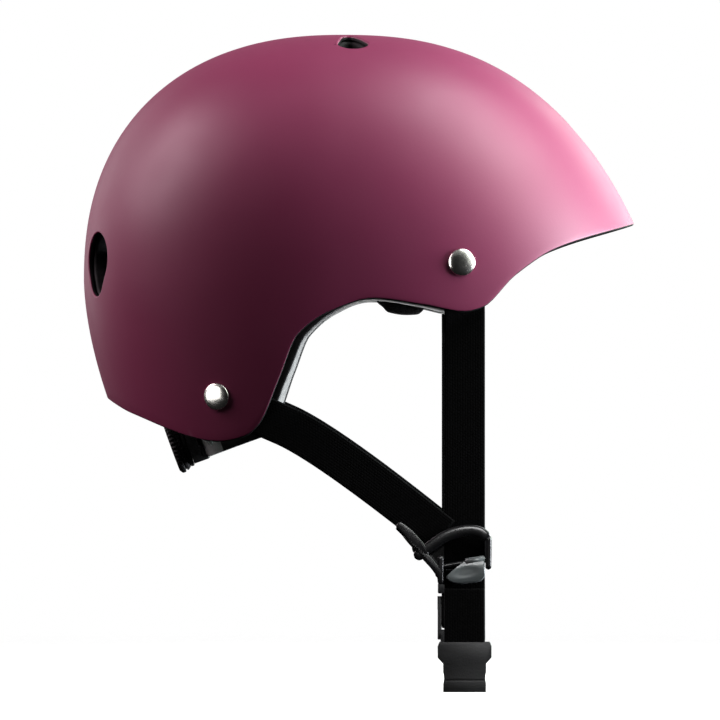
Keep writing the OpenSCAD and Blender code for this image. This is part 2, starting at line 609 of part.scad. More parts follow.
// The chin strap runs down, round the webbing bar and up again, seen edge on.
loop_r = bar_r + 0.2;
chin_top = divider_z - 8.3;
function hook(z, tail) = let (n = 8) concat(
    [[-layer_off - strap_t / 2, chin_top], [-layer_off + strap_t / 2, chin_top]],
    [for (k = [0:n]) let (a = 180 + 180 * k / n) [loop_r * cos(a), z + loop_r * sin(a)]],
    [[loop_r, tail], [loop_r + strap_t, tail]],
    [for (k = [0:n]) let (a = 360 - 180 * k / n) [(loop_r + strap_t) * cos(a), z + (loop_r + strap_t) * sin(a)]]);
module chin_strap(z, tail) translate([front_x0, 0, 0]) rotate([90, 0, 90])
    linear_extrude(height = strap_w) polygon(hook(z, tail));
tail_right = divider_z - 17.5;
tail_left = divider_z - 17.5;
module chin_strap_right() { color(black) hang_right() mirror([0, 1, 0]) chin_strap(bar_z, tail_right); }
plug_bar_z = bar_z + 8;
module chin_strap_left() { color(black) hang_left() mirror([0, 1, 0]) chin_strap(plug_bar_z, tail_left); }

// Buckle socket: rails and a bar for the webbing, and a hollow body open below and at the sides.
mid_x = lobe_x;
rail_w = buckle_w / 2 - strap_w / 2 - 0.12;
body_top = bar_z - bar_r - strap_t - 0.9;
socket_low = body_top - socket_len;
module block(w, t, low, high) translate([mid_x, 0, low]) linear_extrude(height = high - low)
    square([w, t], center = true);
module rails(z, low) {
    for (side = [-1, 1]) translate([mid_x + side * (buckle_w / 2 - rail_w / 2), 0, 0]) {
        translate([-rail_w / 2, -2.4, low]) cube([rail_w, 4.8, z - low]);
        translate([0, 0, z]) rotate([0, 90, 0]) cylinder(h = rail_w, r = 2.4, center = true, $fn = 32);
    }
    translate([mid_x, 0, z]) rotate([0, 90, 0]) cylinder(h = buckle_w - rail_w, r = bar_r, center = true, $fn = 32);
}
// The socket's upper end is a little wider than the rest and cups the turned webbing.
saddle_over = 2.4;
saddle_up = 2.2;
groove_up = 5.4;
module buckle_socket() {
    cavity_w = buckle_w - 7;
    cup_r = loop_r + strap_t + web_gap;
    wide = (buckle_w + saddle_over) / 2;
    narrow = (buckle_w - 3) / 2;
    color(black) hang_right() {
        rails(bar_z, body_top - 1);
        difference() {
            union() {
                block(buckle_w - 3, buckle_t, socket_low, body_top);
                translate([mid_x, 0, 0]) rotate([90, 0, 0]) linear_extrude(height = buckle_t, center = true)
                    polygon([[-wide + 0.8, bar_z + saddle_up], [wide - 0.8, bar_z + saddle_up],
                        [wide, bar_z + saddle_up - 2], [wide, body_top - 1.5], [narrow, body_top - 4.5],
                        [-narrow, body_top - 4.5], [-wide, body_top - 1.5], [-wide, bar_z + saddle_up - 2]]);
            }
            translate([mid_x, 0, bar_z]) rotate([0, 90, 0])
                cylinder(h = strap_w + 0.4, r = cup_r, center = true, $fn = 48);
            translate([mid_x - strap_w / 2 - 0.2, -cup_r, bar_z]) cube([strap_w + 0.4, 2 * cup_r, 9]);
            for (side = [-1, 1]) translate([mid_x - buckle_w / 2, side * buckle_t / 2 - 0.35, socket_low + groove_up])
                cube([buckle_w, 0.7, 0.9]);
            translate([mid_x - cavity_w / 2, -buckle_t / 2 + socket_wall, socket_low - 1])
                cube([cavity_w, buckle_t - 2 * socket_wall, socket_len - 1.6]);
            translate([mid_x - buckle_w / 2 - 1, -buckle_t / 2 + socket_wall + 0.4, socket_low + 2.6])
                cube([buckle_w + 2, buckle_t - 2 * socket_wall - 0.8, socket_len - 9]);
            for (side = [-1, 1]) translate([mid_x + side * (buckle_w / 2 + 7.1), 0, socket_low + 7])
                rotate([90, 0, 0]) cylinder(h = buckle_t + 2, r = 9, center = true, $fn = 64);
        }
    }
}

// Buckle plug: a ladder for the webbing, a middle tongue and two sprung arms with barbs.
plug_top = plug_bar_z + 9;
plug_body = plug_bar_z - bar_r - strap_t - 0.9;
plug_foot = plug_body - 8;
prong_t = buckle_t - 2 * socket_wall - 2 * plug_gap;
arm_root = 6.2;
module buckle_plug() {
    color(black) hang_left() {
        rails(plug_bar_z, plug_body - 1);
        for (side = [-1, 1]) translate([mid_x + side * (buckle_w / 2 - rail_w / 2) - rail_w / 2, -2.4, plug_bar_z])
            cube([rail_w, 4.8, plug_top - plug_bar_z]);
        translate([mid_x - buckle_w / 2, -loop_r - strap_t - 2.2, plug_top]) cube([buckle_w, 1.9, 4]);
        for (side = [-1, 1]) translate([mid_x + side * (buckle_w / 2 - rail_w / 2) - rail_w / 2, -loop_r - strap_t - 2.2,
            plug_top - 3]) cube([rail_w, loop_r + strap_t + 3.5, 7]);
        block(buckle_w, buckle_t - 2.6, plug_foot + 3, plug_body);
        block(buckle_w - 3, buckle_t, plug_foot, plug_body - 2);
        translate([mid_x - 1.6, -prong_t / 2, plug_foot - prong_len + 2]) cube([3.2, prong_t, prong_len - 1]);
    }
}
module buckle_arm(side) {
    s = side;
    tip = plug_foot - prong_len;
    plate([[mid_x + s * (arm_root - 1.2), plug_foot - 0.2], [mid_x + s * (arm_root + 1.2), plug_foot - 0.2],
        [mid_x + s * 7.4, tip + 9], [mid_x + s * 8, tip + 6], [mid_x + s * 6.6, tip + 5.6], [mid_x + s * 6.8, tip + 2],
        [mid_x + s * 5.6, tip], [mid_x + s * 4.2, tip + 1], [mid_x + s * 4.8, tip + 7]], -prong_t / 2, prong_t / 2);
}
module buckle_arm_front() { color(black) hang_left() buckle_arm(1); }
module buckle_arm_rear() { color(black) hang_left() buckle_arm(-1); }

// A loop that keeps the plug's webbing tail down.
keeper_z = plug_top + 8;
module strap_keeper() {
    w = strap_w + 2 * web_gap;
    depth = 2 * (loop_r + strap_t + 0.35);
    color(black) hang_left() translate([mid_x, 0, keeper_z]) difference() {
        cube([w + 2.8, depth + 2.8, 5], center = true);
        cube([w, depth, 7], center = true);
    }
}

// Fit cradle: local x points forward and up along the tilt, local z is the band's own axis.
cradle_at = [-12, 0, -74];
module in_cradle() translate(cradle_at) rotate([0, -cradle_tilt, 0]) children();
plug_turn = 57;
tooth_h = 1.6;
plug_r = 4;
plug_len = 7;
boss_gap = 2;
// Distance along a plug from the cradle's axis to the liner's inner face.
plug_way = [-cos(plug_turn) * cos(cradle_tilt), sin(plug_turn), -cos(plug_turn) * sin(cradle_tilt)];
function in_foam(p) = p[1] > side_y(p[0], p[2]) - liner_in * lean(p[0], p[2]);
function foam_at(lo, hi, n = 0) = let (m = (lo + hi) / 2) n == rim_steps ? m
    : in_foam(cradle_at + m * plug_way) ? foam_at(lo, m, n + 1) : foam_at(m, hi, n + 1);
plug_reach = foam_at(0, half_width);
band_r = plug_reach - band_room;
module at_plugs() for (side = [-1, 1]) rotate([0, 0, 180 - side * plug_turn]) translate([plug_reach, 0, 0])
    rotate([0, 90, 0]) children();
rack_r = band_r + band_t + 0.4;
rack_out = rack_r + belt_t;
rack_top = pinion_r + belt_h - tooth_h / 2 + 0.25;
housing_w = 40;
housing_h = 31;
// Outline of a pinion: each tooth narrows from its root to its tip.
function pinion_outline(n, r, depth) = [for (k = [0:n - 1], c = [[-6.5, -1], [-2.5, 1], [2.5, 1], [6.5, -1]])
    let (a = 360 * k / n + c[0] * 12 / n) (r + c[1] * depth / 2) * [cos(a), sin(a)]];

module ring_piece(r0, r1, low, high, from, to) rotate([0, 0, from])
    rotate_extrude(angle = to - from, $fn = 96) translate([r0, low]) square([r1 - r0, high - low]);
module cradle_band() {
    color(black) in_cradle() difference() {
        union() {
            ring_piece(band_r, band_r + band_t, -band_h / 2, band_h / 2, 122, 238);
            at_plugs() translate([0, 0, band_t - band_room - eps]) cylinder(h = boss_h, r = plug_r + 1, $fn = 32);
        }
        for (turn = [140, 155, 205, 220]) rotate([0, 0, turn]) translate([band_r, 0, 0]) rotate([0, 90, 0])
            scale([1.5, 1, 1]) cylinder(h = 12, r = 5, center = true, $fn = 32);
    }
}
boss_h = band_room - band_t - boss_gap;
module cradle_plugs() {
    color(black) in_cradle() at_plugs() translate([0, 0, boss_h + band_t - band_room])
        cylinder(h = boss_gap + plug_len, r = plug_r, $fn = 32);
}
module nape_pad() {
    seat = band_r - 0.3;
    function spot(j, i, d) = let (a = lerp(130, 230, i / pad_cols)) [(seat - d) * cos(a), (seat - d) * sin(a),
        lerp(band_h / 2 - 2, 2 - band_h / 2, j / pad_rows)];
    color(grey) in_cradle() slab([for (j = [0:pad_rows]) [for (i = [0:pad_cols]) spot(j, i, 0)]],
        [for (j = [0:pad_rows]) [for (i = [0:pad_cols])
            spot(j, i, 1 + 4 * swell(j / pad_rows) * swell(i / pad_cols))]]);
}

// The housing holds both toothed belts and carries the dial on its boss.
housing_back = rack_out + 2.6;
module dial_housing() {
    color(black) in_cradle() difference() {
        translate([-housing_back, -housing_w / 2, -housing_h / 2]) cube([housing_back - band_r + 4, housing_w, housing_h]);
        translate([0, 0, -housing_h]) cylinder(h = 2 * housing_h, r = rack_r - 0.3, $fn = 96);
        ring_piece(rack_r - 1, rack_out + 0.4, -rack_top - 0.4, rack_top + 0.4, 140, 220);
        rotate([0, -90, 0]) cylinder(h = housing_back + 2, r = 3.05, $fn = 32);
    }
}
module housing_cover() {
    color(black) in_cradle() difference() {
        translate([-housing_back - 2, 0, 0]) rotate([0, 90, 0]) cylinder(h = 1.6, r = dial_r + 2.5, $fn = 64);
        rotate([0, -90, 0]) cylinder(h = housing_back + 8, r = 3.3, $fn = 32);
    }
}
dial_back = housing_back + 2.4;
module fit_dial() {
    color(black) in_cradle() rotate([0, -90, 0]) difference() {
        union() {
            translate([0, 0, dial_back]) cylinder(h = dial_t - 1.5, r = dial_r, $fn = 96);
            translate([0, 0, dial_back + dial_t - 1.5]) cylinder(h = 1.5, r1 = dial_r, r2 = dial_r - 1.5, $fn = 96);
        }
        for (k = [0:dial_grips - 1]) rotate([0, 0, 360 * k / dial_grips]) translate([dial_r + 1, 0, dial_back - 1])
            cylinder(h = dial_t + 2, r = 1.9, $fn = 24);
        translate([0, 0, dial_back + dial_t - 1.5]) cylinder(h = 3, r = dial_r - 5, $fn = 64);
        translate([0, 0, dial_back - 1]) cylinder(h = 4, r = 3.05, $fn = 32);
    }
}
module dial_pinion() {
    color(black) in_cradle() rotate([0, -90, 0]) {
        translate([0, 0, rack_r]) linear_extrude(height = belt_t)
            polygon(pinion_outline(pinion_teeth, pinion_r, tooth_h));
        translate([0, 0, rack_r]) cylinder(h = dial_back - rack_r + 2.9, r = 3, $fn = 32);
    }
}

// A belt is an arc of the band's radius, toothed along the edge that meets the pinion.
belt_end = 60;
module toothed_belt() {
    gap_w = 2 * PI * pinion_r / pinion_teeth * 0.64;
    pitch = 360 / pinion_teeth * pinion_r / (rack_r + belt_t / 2);
    tip = pinion_r - tooth_h / 2 + 0.3;
    root = pinion_r + tooth_h / 2 + 0.25;
    difference() {
        ring_piece(rack_r, rack_out, tip, root + belt_h - tooth_h, 180 - 16, 180 + belt_end);
        for (k = [-6:6]) rotate([0, 0, 180 + k * pitch]) translate([rack_r + belt_t / 2, 0, tip - 1])
            translate([-belt_t, -gap_w / 2, 0]) cube([2 * belt_t, gap_w, root - tip + 1]);
    }
}
module belt_right() { color(black) in_cradle() toothed_belt(); }
module belt_left() { color(black) in_cradle() rotate([180, 0, 0]) toothed_belt(); }

// The hanger ties the housing's top to the liner behind it.
hanger_w = 16;
module cradle_hanger() {
    top = [crown_x - half_rear(-60) + liner_in + 2.4, -60];
    foot = [cradle_at[0] - (band_r - 1.4) * cos(cradle_tilt) - 11.5 * sin(cradle_tilt),
        cradle_at[2] - (band_r - 1.4) * sin(cradle_tilt) + 13.5 * cos(cradle_tilt)];
    color(black) translate([0, hanger_w / 2, 0]) rotate([90, 0, 0]) linear_extrude(height = hanger_w)
        polygon(band([top, lerp(top, foot, 0.35) + [-1, 0], foot], 2));
}

outer_shell();
liner();
front_pad();
rear_pad();
crown_pad();
side_pad_left();
side_pad_right();
rivets();
rivet_washers();
strap_tabs_front();
strap_tabs_rear();
front_strap_right();
front_strap_left();
rear_strap_right();
rear_strap_left();
divider_right();
divider_left();
lock_flap_right();
lock_flap_left();
chin_strap_right();
chin_strap_left();
buckle_socket();
buckle_plug();
buckle_arm_front();
buckle_arm_rear();
strap_keeper();
cradle_band();
dial_housing();
housing_cover();
cradle_hanger();
cradle_plugs();
nape_pad();
fit_dial();
dial_pinion();
belt_left();
belt_right();
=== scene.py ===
import math
import bpy
import bmesh
import numpy as np
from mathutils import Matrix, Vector


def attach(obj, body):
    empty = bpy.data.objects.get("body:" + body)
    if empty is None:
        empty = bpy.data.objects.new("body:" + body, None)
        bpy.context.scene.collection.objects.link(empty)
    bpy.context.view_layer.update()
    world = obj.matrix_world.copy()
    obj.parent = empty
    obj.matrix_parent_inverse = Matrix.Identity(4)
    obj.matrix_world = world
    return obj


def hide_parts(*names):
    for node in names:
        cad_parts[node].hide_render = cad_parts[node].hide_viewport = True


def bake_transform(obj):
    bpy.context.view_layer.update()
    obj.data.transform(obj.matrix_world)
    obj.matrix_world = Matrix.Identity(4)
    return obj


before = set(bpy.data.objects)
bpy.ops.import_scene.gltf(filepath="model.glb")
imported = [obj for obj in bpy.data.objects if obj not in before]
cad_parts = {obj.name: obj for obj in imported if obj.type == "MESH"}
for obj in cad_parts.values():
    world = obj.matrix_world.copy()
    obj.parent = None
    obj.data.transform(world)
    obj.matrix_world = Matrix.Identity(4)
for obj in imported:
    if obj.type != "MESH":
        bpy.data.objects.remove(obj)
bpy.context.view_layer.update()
scene = bpy.context.scene
mm = 0.001
sides = ((-1, "right"), (1, "left"))  # the sign of Y on each side of the wearer
print("frame loaded:", len(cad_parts), "nodes")

# Node helpers


def addNode(owner, kind, **settings):
    # a name with a capital letter is an input of the node, any other is a setting
    node = owner.node_tree.nodes.new("ShaderNode" + kind)
    for key, value in settings.items():
        if key[0].isupper():
            node.inputs[key.replace("_", " ")].default_value = value
        else:
            setattr(node, key, value)
    return node


def link(owner, output, entry):
    owner.node_tree.links.new(output, entry)


def join(owner, source, output, target, entry):
    link(owner, source.outputs[output], target.inputs[entry])


def mathNode(owner, operation, first, second=None):
    node = addNode(owner, "Math", operation=operation)
    for k, source in enumerate((first, second)):
        if isinstance(source, (int, float)):
            node.inputs[k].default_value = source
        elif source is not None:
            link(owner, source, node.inputs[k])
    return node.outputs[0]


def newMaterial(name, color, roughness, **values):
    # a material's principled shader is its first node, and a node of object places goes with it
    mat = bpy.data.materials.new(name)
    mat.use_nodes = True
    shade = principled(mat)
    shade.inputs["Base Color"].default_value = (*color, 1.0)
    shade.inputs["Roughness"].default_value = roughness
    for key, value in values.items():
        shade.inputs[key.replace("_", " ")].default_value = value
    return mat, addNode(mat, "TexCoord")


def principled(mat):
    return mat.node_tree.nodes["Principled BSDF"]


# Camera, light and floor

studio = {
    "sensor": 36.0, "cameraAway": 6.0, "cameraX": 0.005, "cameraZ": -0.06, "frameWidth": 0.36, "near": 0.05,
    "distant": 60.0, "floorZ": -0.235, "floorRadius": 2.4, "floorSolid": 0.5, "floorFade": 1.7, "floorGlow": 0.6,
    "floorGrey": (0.86, 0.86, 0.85), "ambient": 0.01, "backdrop": 1.0, "gamma": 0.92,
}
softboxes = {  # place, aim, width, height, power
    "keyLight": ((1.1, -0.05, 0.04), (0.03, -0.02, 0.0), 0.7, 0.5, 29.0),
    "sideLight": ((0.9, -0.3, 0.6), (0.03, -0.02, 0.0), 0.8, 0.8, 7.6),
    "fillLight": ((1.0, -0.6, 0.35), (0.0, -0.02, 0.0), 0.8, 0.8, 0.8),
    "topLight": ((0.7, -0.1, 1.1), (0.02, -0.02, 0.0), 0.9, 0.9, 16.0),
    "rearLight": ((-1.0, -0.05, 0.65), (-0.03, -0.02, 0.0), 0.8, 0.8, 12.5),
    "edgeLight": ((-0.85, 0.8, 0.25), (0.0, -0.02, 0.0), 0.8, 0.8, 2.4),
    "rimLight": ((0.8, 0.9, 0.25), (0.02, 0.0, 0.0), 0.9, 0.8, 8.3),
    "underLight": ((0.015, 0.06, -0.2), (0.0, -0.095, -0.03), 0.16, 0.06, 0.6),
    "glintLight": ((0.16, -1.9, 0.5), (0.05, 0.0, -0.12), 0.7, 0.5, 13.0),
    "ringLight": ((-0.9, -0.6, 0.0), (0.0, -0.1, -0.04), 1.0, 0.8, 8.0),
}
lightTints = {"keyLight": (0.92, 0.94, 1.0), "sideLight": (0.88, 1.0, 0.88), "rimLight": (0.8, 1.0, 0.88),
              "rearLight": (1.0, 0.82, 0.88)}
glossOnly = ("glintLight", "ringLight")  # lights that show only as a reflection
litAlone = {  # lights that fall only on these pieces
    "underLight": ("linerFoam",),
    "glintLight": ("dividerRight", "dividerLeft", "lockFlapRight", "lockFlapLeft", "buckleSocket", "bucklePlug",
                   "buckleArmFront", "buckleArmRear", "strapKeeper"),
    "ringLight": ("rivetHeads",),
}
tent = {"axis": (0.0, -0.97, -0.24), "dark": 0.72, "bright": 0.45, "low": -0.2, "high": -0.05, "level": 0.18}


def setCamera():
    data = bpy.data.cameras.new("photoCamera")
    data.sensor_width = studio["sensor"]
    data.lens = studio["sensor"] * studio["cameraAway"] / studio["frameWidth"]
    data.clip_start, data.clip_end = studio["near"], studio["distant"]
    camera = bpy.data.objects.new("photoCamera", data)
    camera.location = (studio["cameraX"], -studio["cameraAway"], studio["cameraZ"])
    camera.rotation_euler = (math.pi / 2, 0.0, 0.0)
    scene.collection.objects.link(camera)
    scene.camera = camera


def setLights():
    for name, (place, aim, width, height, power) in softboxes.items():
        data = bpy.data.lights.new(name, "AREA")
        data.shape, data.size, data.size_y, data.energy = "RECTANGLE", width, height, power
        data.color = lightTints.get(name, (1.0, 1.0, 1.0))
        light = bpy.data.objects.new(name, data)
        light.location = place
        light.rotation_euler = (Vector(aim) - Vector(place)).to_track_quat("-Z", "Y").to_euler()
        light.visible_camera = False
        light.visible_diffuse = name not in glossOnly
        scene.collection.objects.link(light)


def linkLights():
    for light, pieces in litAlone.items():
        shown = bpy.data.collections.new(light + "Pieces")
        for name in pieces:
            shown.objects.link(bpy.data.objects[name])
        bpy.data.objects[light].light_linking.receiver_collection = shown


def setWorld():
    # the backdrop is white, and glossy surfaces see a white tent that is open towards the camera and below
    world = bpy.data.worlds.new("studioWorld")
    world.use_nodes = True
    shade = world.node_tree.nodes["Background"]
    shade.inputs["Color"].default_value = (1.0, 1.0, 1.0, 1.0)
    place, parts, path = (addNode(world, kind) for kind in ("TexCoord", "SeparateXYZ", "LightPath"))
    facing = addNode(world, "VectorMath", operation="DOT_PRODUCT")
    facing.inputs[1].default_value = tent["axis"]
    join(world, place, "Generated", facing, 0)
    join(world, place, "Generated", parts, "Vector")
    amount = path.outputs["Is Glossy Ray"]
    for source, low, high in ((facing.outputs["Value"], tent["dark"], tent["bright"]),
                              (parts.outputs["Z"], tent["low"], tent["high"])):
        ramp = addNode(world, "MapRange", From_Min=low, From_Max=high)
        link(world, source, ramp.inputs["Value"])
        amount = mathNode(world, "MULTIPLY", amount, ramp.outputs["Result"])
    glossy = addNode(world, "MapRange", To_Min=studio["ambient"], To_Max=tent["level"])
    link(world, amount, glossy.inputs["Value"])
    level = addNode(world, "Mix", B=studio["backdrop"])
    join(world, path, "Is Camera Ray", level, "Factor")
    join(world, glossy, "Result", level, "A")
    join(world, level, "Result", shade, "Strength")
    scene.world = world
    scene.view_settings.view_transform = "Standard"
    scene.view_settings.gamma = studio["gamma"]


def setFloor():
    bm = bmesh.new()
    bmesh.ops.create_circle(bm, cap_ends=True, radius=studio["floorRadius"], segments=96)
    mesh = bpy.data.meshes.new("floor")
    bm.to_mesh(mesh)
    bm.free()
    floor = bpy.data.objects.new("floor", mesh)
    floor.location = (0.0, 0.0, studio["floorZ"])
    scene.collection.objects.link(floor)
    mat, place = newMaterial("paleFloor", studio["floorGrey"], 0.85, Emission_Color=(1.0, 1.0, 1.0, 1.0),
                             Emission_Strength=studio["floorGlow"])
    away = addNode(mat, "VectorMath", operation="LENGTH")
    fade = addNode(mat, "MapRange", interpolation_type="SMOOTHSTEP", From_Min=studio["floorSolid"],
                   From_Max=studio["floorFade"], To_Min=1.0, To_Max=0.0)
    join(mat, place, "Object", away, 0)
    join(mat, away, "Value", fade, "Value")
    join(mat, fade, "Result", principled(mat), "Alpha")
    mesh.materials.append(mat)
    floor.visible_diffuse = floor.visible_glossy = False  # the pale floor throws no light up at the helmet


setCamera()
setLights()
setWorld()
setFloor()
print("camera, lights and floor set")

# Materials: broken up in colour and roughness, with a fine relief


def tint(mat, source, output, dark, light, low=0.0, high=1.0):
    ramp = addNode(mat, "ValToRGB")
    for end, place, color in zip(ramp.color_ramp.elements, (low, high), (dark, light)):
        end.position, end.color = place, (*color, 1.0)
    join(mat, source, output, ramp, "Fac")
    join(mat, ramp, "Color", principled(mat), "Base Color")
    return ramp


def spread(mat, source, output, low, high):
    lane = addNode(mat, "MapRange", From_Min=0.3, From_Max=0.7, To_Min=low, To_Max=high)
    join(mat, source, output, lane, "Value")
    join(mat, lane, "Result", principled(mat), "Roughness")


def bumpFrom(mat, source, output, strength, distance, before=None):
    bump = addNode(mat, "Bump", Strength=strength, Distance=distance)
    join(mat, source, output, bump, "Height")
    if before:
        join(mat, before, "Normal", bump, "Normal")
    join(mat, bump, "Normal", principled(mat), "Normal")
    return bump


def noiseOn(mat, place, scale, detail=3.0, rough=0.5):
    noise = addNode(mat, "TexNoise", Scale=scale, Detail=detail, Roughness=rough)
    join(mat, place, "Object", noise, "Vector")
    return noise


def cellsOn(mat, place, scale):
    cells = addNode(mat, "TexVoronoi", Scale=scale)
    join(mat, place, "Object", cells, "Vector")
    return cells


def mixColors(mat, first, second, factor, **settings):
    # either colour and the factor may be a value or an output
    mix = addNode(mat, "Mix", data_type="RGBA", **settings)
    for slot, source in ((0, factor), (6, first), (7, second)):
        if isinstance(source, (float, tuple)):
            mix.inputs[slot].default_value = source
        else:
            link(mat, source, mix.inputs[slot])
    link(mat, mix.outputs[2], principled(mat).inputs["Base Color"])


# edgeWearHighlight is the lighter colour of sharp edges: partly wear, partly a painted highlight
paint = {"dark": (0.225, 0.029, 0.089), "light": (0.255, 0.036, 0.102), "edgeWearHighlight": (0.32, 0.12, 0.19, 1.0),
         "rough": 0.47, "shine": 0.62}


def shellPaint():
    mat, place = newMaterial("satinPaint", paint["light"], paint["rough"], Specular_IOR_Level=paint["shine"])
    ramp = tint(mat, noiseOn(mat, place, 9.0, 4.0), "Fac", paint["dark"], paint["light"], 0.3, 0.7)
    # sharp convex edges, found by pointiness and broken up by scuff noise, are lightened: wear together with a painted
    # highlight along the edges
    edge = addNode(mat, "MapRange", From_Min=0.53, From_Max=0.62)
    join(mat, addNode(mat, "NewGeometry"), "Pointiness", edge, "Value")
    scuff = noiseOn(mat, place, 160.0, 6.0, 0.7)
    both = mathNode(mat, "MULTIPLY", edge.outputs["Result"], scuff.outputs["Fac"])
    mixColors(mat, ramp.outputs["Color"], paint["edgeWearHighlight"], both)
    spread(mat, noiseOn(mat, place, 45.0, 5.0), "Fac", 0.44, 0.5)
    bumpFrom(mat, noiseOn(mat, place, 850.0, 2.0), "Fac", 0.12, 0.0002)
    return mat


def blackInside():
    mat, place = newMaterial("blackInside", (0.012, 0.012, 0.013), 0.55)
    grain = noiseOn(mat, place, 700.0, 4.0, 0.7)
    spread(mat, grain, "Fac", 0.42, 0.66)
    bumpFrom(mat, grain, "Fac", 0.25, 0.0003)
    return mat


def beadFoam(name, bright, dull):
    mat, place = newMaterial(name, bright, 0.78)
    beads, stain = cellsOn(mat, place, 330.0), noiseOn(mat, place, 22.0, 4.0)
    ramp = tint(mat, beads, "Distance", bright, dull, 0.25, 0.75)
    mixColors(mat, ramp.outputs["Color"], stain.outputs["Fac"], 0.35, blend_type="MULTIPLY")
    spread(mat, stain, "Fac", 0.68, 0.86)
    soft = bumpFrom(mat, noiseOn(mat, place, 1400.0, 2.0), "Fac", 0.15, 0.0002)
    bumpFrom(mat, beads, "Distance", -0.5, 0.0006, soft)
    return mat


def paddingCloth(name, dark, light, sheen):
    mat, place = newMaterial(name, light, 0.9, Sheen_Weight=sheen, Sheen_Roughness=0.45)
    fuzz = noiseOn(mat, place, 60.0, 6.0, 0.65)
    tint(mat, fuzz, "Fac", dark, light, 0.3, 0.7)
    spread(mat, fuzz, "Fac", 0.82, 0.97)
    soft = bumpFrom(mat, fuzz, "Fac", 0.2, 0.0008)
    bumpFrom(mat, cellsOn(mat, place, 1100.0), "Distance", 0.55, 0.0004, soft)
    return mat


# dark is painted shade in the weave's valleys, light the tops of the threads
weave = {"rib": 1.25, "pick": 1.6, "dark": (0.001, 0.001, 0.0012, 1.0), "light": (0.0035, 0.0033, 0.0035, 1.0)}


def wovenNylon():
    # warp ribs and weft picks, each second rib half a pick further on
    mat, place = newMaterial("wovenNylon", (0.005, 0.0045, 0.005), 0.7, Specular_IOR_Level=0.08)
    parts = addNode(mat, "SeparateXYZ")
    join(mat, place, "UV", parts, "Vector")

    def calc(operation, *sources):
        return mathNode(mat, operation, *sources)

    across = calc("MULTIPLY", parts.outputs["X"], 1.0 / weave["rib"])
    along = calc("MULTIPLY", parts.outputs["Y"], 1.0 / weave["pick"])
    step = calc("MULTIPLY", calc("FLOOR", across), 0.5)
    ribs = calc("ABSOLUTE", calc("SINE", calc("MULTIPLY", across, math.pi)))
    picks = calc("ABSOLUTE", calc("SINE", calc("MULTIPLY", calc("ADD", along, step), math.pi)))
    height = calc("MULTIPLY", calc("POWER", ribs, 0.5), calc("POWER", picks, 0.4))
    # the colour follows the weave's height: painted shade in the valleys between the threads, lighter on their tops
    weaveShade = addNode(mat, "ValToRGB")
    for end, color in zip(weaveShade.color_ramp.elements, (weave["dark"], weave["light"])):
        end.color = color
    link(mat, height, weaveShade.inputs["Fac"])
    join(mat, weaveShade, "Color", principled(mat), "Base Color")
    spread(mat, noiseOn(mat, place, 55.0, 5.0), "Fac", 0.62, 0.8)
    bump = addNode(mat, "Bump", Strength=0.4, Distance=0.00035)
    link(mat, height, bump.inputs["Height"])
    join(mat, bump, "Normal", principled(mat), "Normal")
    return mat


def mouldedPlastic(name, dark, light, roughness, grain, strength, coat=0.0, half=None):
    # cloudy from dark to light, or with the dark colour up to half a width from the middle and the light one beyond
    mat, place = newMaterial(name, light, roughness[0], Coat_Weight=coat, Coat_Roughness=0.12)
    cloud = noiseOn(mat, place, 35.0, 5.0, 0.6)
    if half is None:
        tint(mat, cloud, "Fac", dark, light, 0.3, 0.7)
    else:
        parts = addNode(mat, "SeparateXYZ")
        join(mat, place, "Object", parts, "Vector")
        away = addNode(mat, "MapRange", From_Min=half - 0.0003, From_Max=half + 0.0003)
        link(mat, mathNode(mat, "ABSOLUTE", parts.outputs["Y"]), away.inputs["Value"])
        tint(mat, away, "Result", dark, light)
    spread(mat, cloud, "Fac", *roughness)
    bumpFrom(mat, noiseOn(mat, place, grain, 3.0, 0.6), "Fac", strength, 0.0002)
    return mat


def platedMetal(name, color, roughness):
    mat, place = newMaterial(name, color, roughness[0], Metallic=1.0)
    haze = noiseOn(mat, place, 260.0, 6.0, 0.7)
    tint(mat, haze, "Fac", tuple(0.82 * c for c in color), color, 0.25, 0.6)
    spread(mat, haze, "Fac", *roughness)
    bumpFrom(mat, noiseOn(mat, place, 900.0), "Fac", 0.05, 0.0001)
    return mat


satinPaint = shellPaint()
insideBlack = blackInside()
greyFoam = beadFoam("greyFoam", (0.3, 0.305, 0.3), (0.22, 0.225, 0.225))
# black bead foam, which also paints the shade in the liner's vents and in the gap under the shell's edge
shadeBlackFoam = beadFoam("shadeBlackFoam", (0.02, 0.02, 0.021), (0.009, 0.009, 0.01))
blackCloth = paddingCloth("blackCloth", (0.006, 0.006, 0.007), (0.018, 0.017, 0.018), 0.35)
napeCloth = paddingCloth("napeCloth", (0.26, 0.29, 0.28), (0.38, 0.41, 0.4), 0.2)
nylon = wovenNylon()
nickel = platedMetal("nickelPlate", (0.86, 0.84, 0.79), (0.2, 0.3))
washerSteel = platedMetal("washerSteel", (0.6, 0.6, 0.6), (0.25, 0.4))
blackGloss = mouldedPlastic("blackGloss", (0.008, 0.008, 0.009), (0.016, 0.016, 0.018), (0.18, 0.3), 500.0, 0.1, 0.4)
flapGrey = mouldedPlastic("flapGrey", (0.2, 0.22, 0.23), (0.27, 0.295, 0.3), (0.22, 0.34), 500.0, 0.1, 0.4)
blackSatin = mouldedPlastic("blackSatin", (0.014, 0.014, 0.015), (0.028, 0.028, 0.03), (0.34, 0.5), 1100.0, 0.35)
cradleBlack = mouldedPlastic("cradleBlack", (0.012, 0.012, 0.013), (0.024, 0.025, 0.026), (0.36, 0.52), 900.0, 0.3)
dialBlack = mouldedPlastic("dialBlack", (0.012, 0.012, 0.013), (0.022, 0.022, 0.023), (0.5, 0.66), 1200.0, 0.4)
bandPlastic = mouldedPlastic("bandPlastic", (0.66, 0.72, 0.69), (0.018, 0.018, 0.019), (0.36, 0.52), 900.0, 0.3,
                             half=0.038)
print("materials made")

# Mesh makers


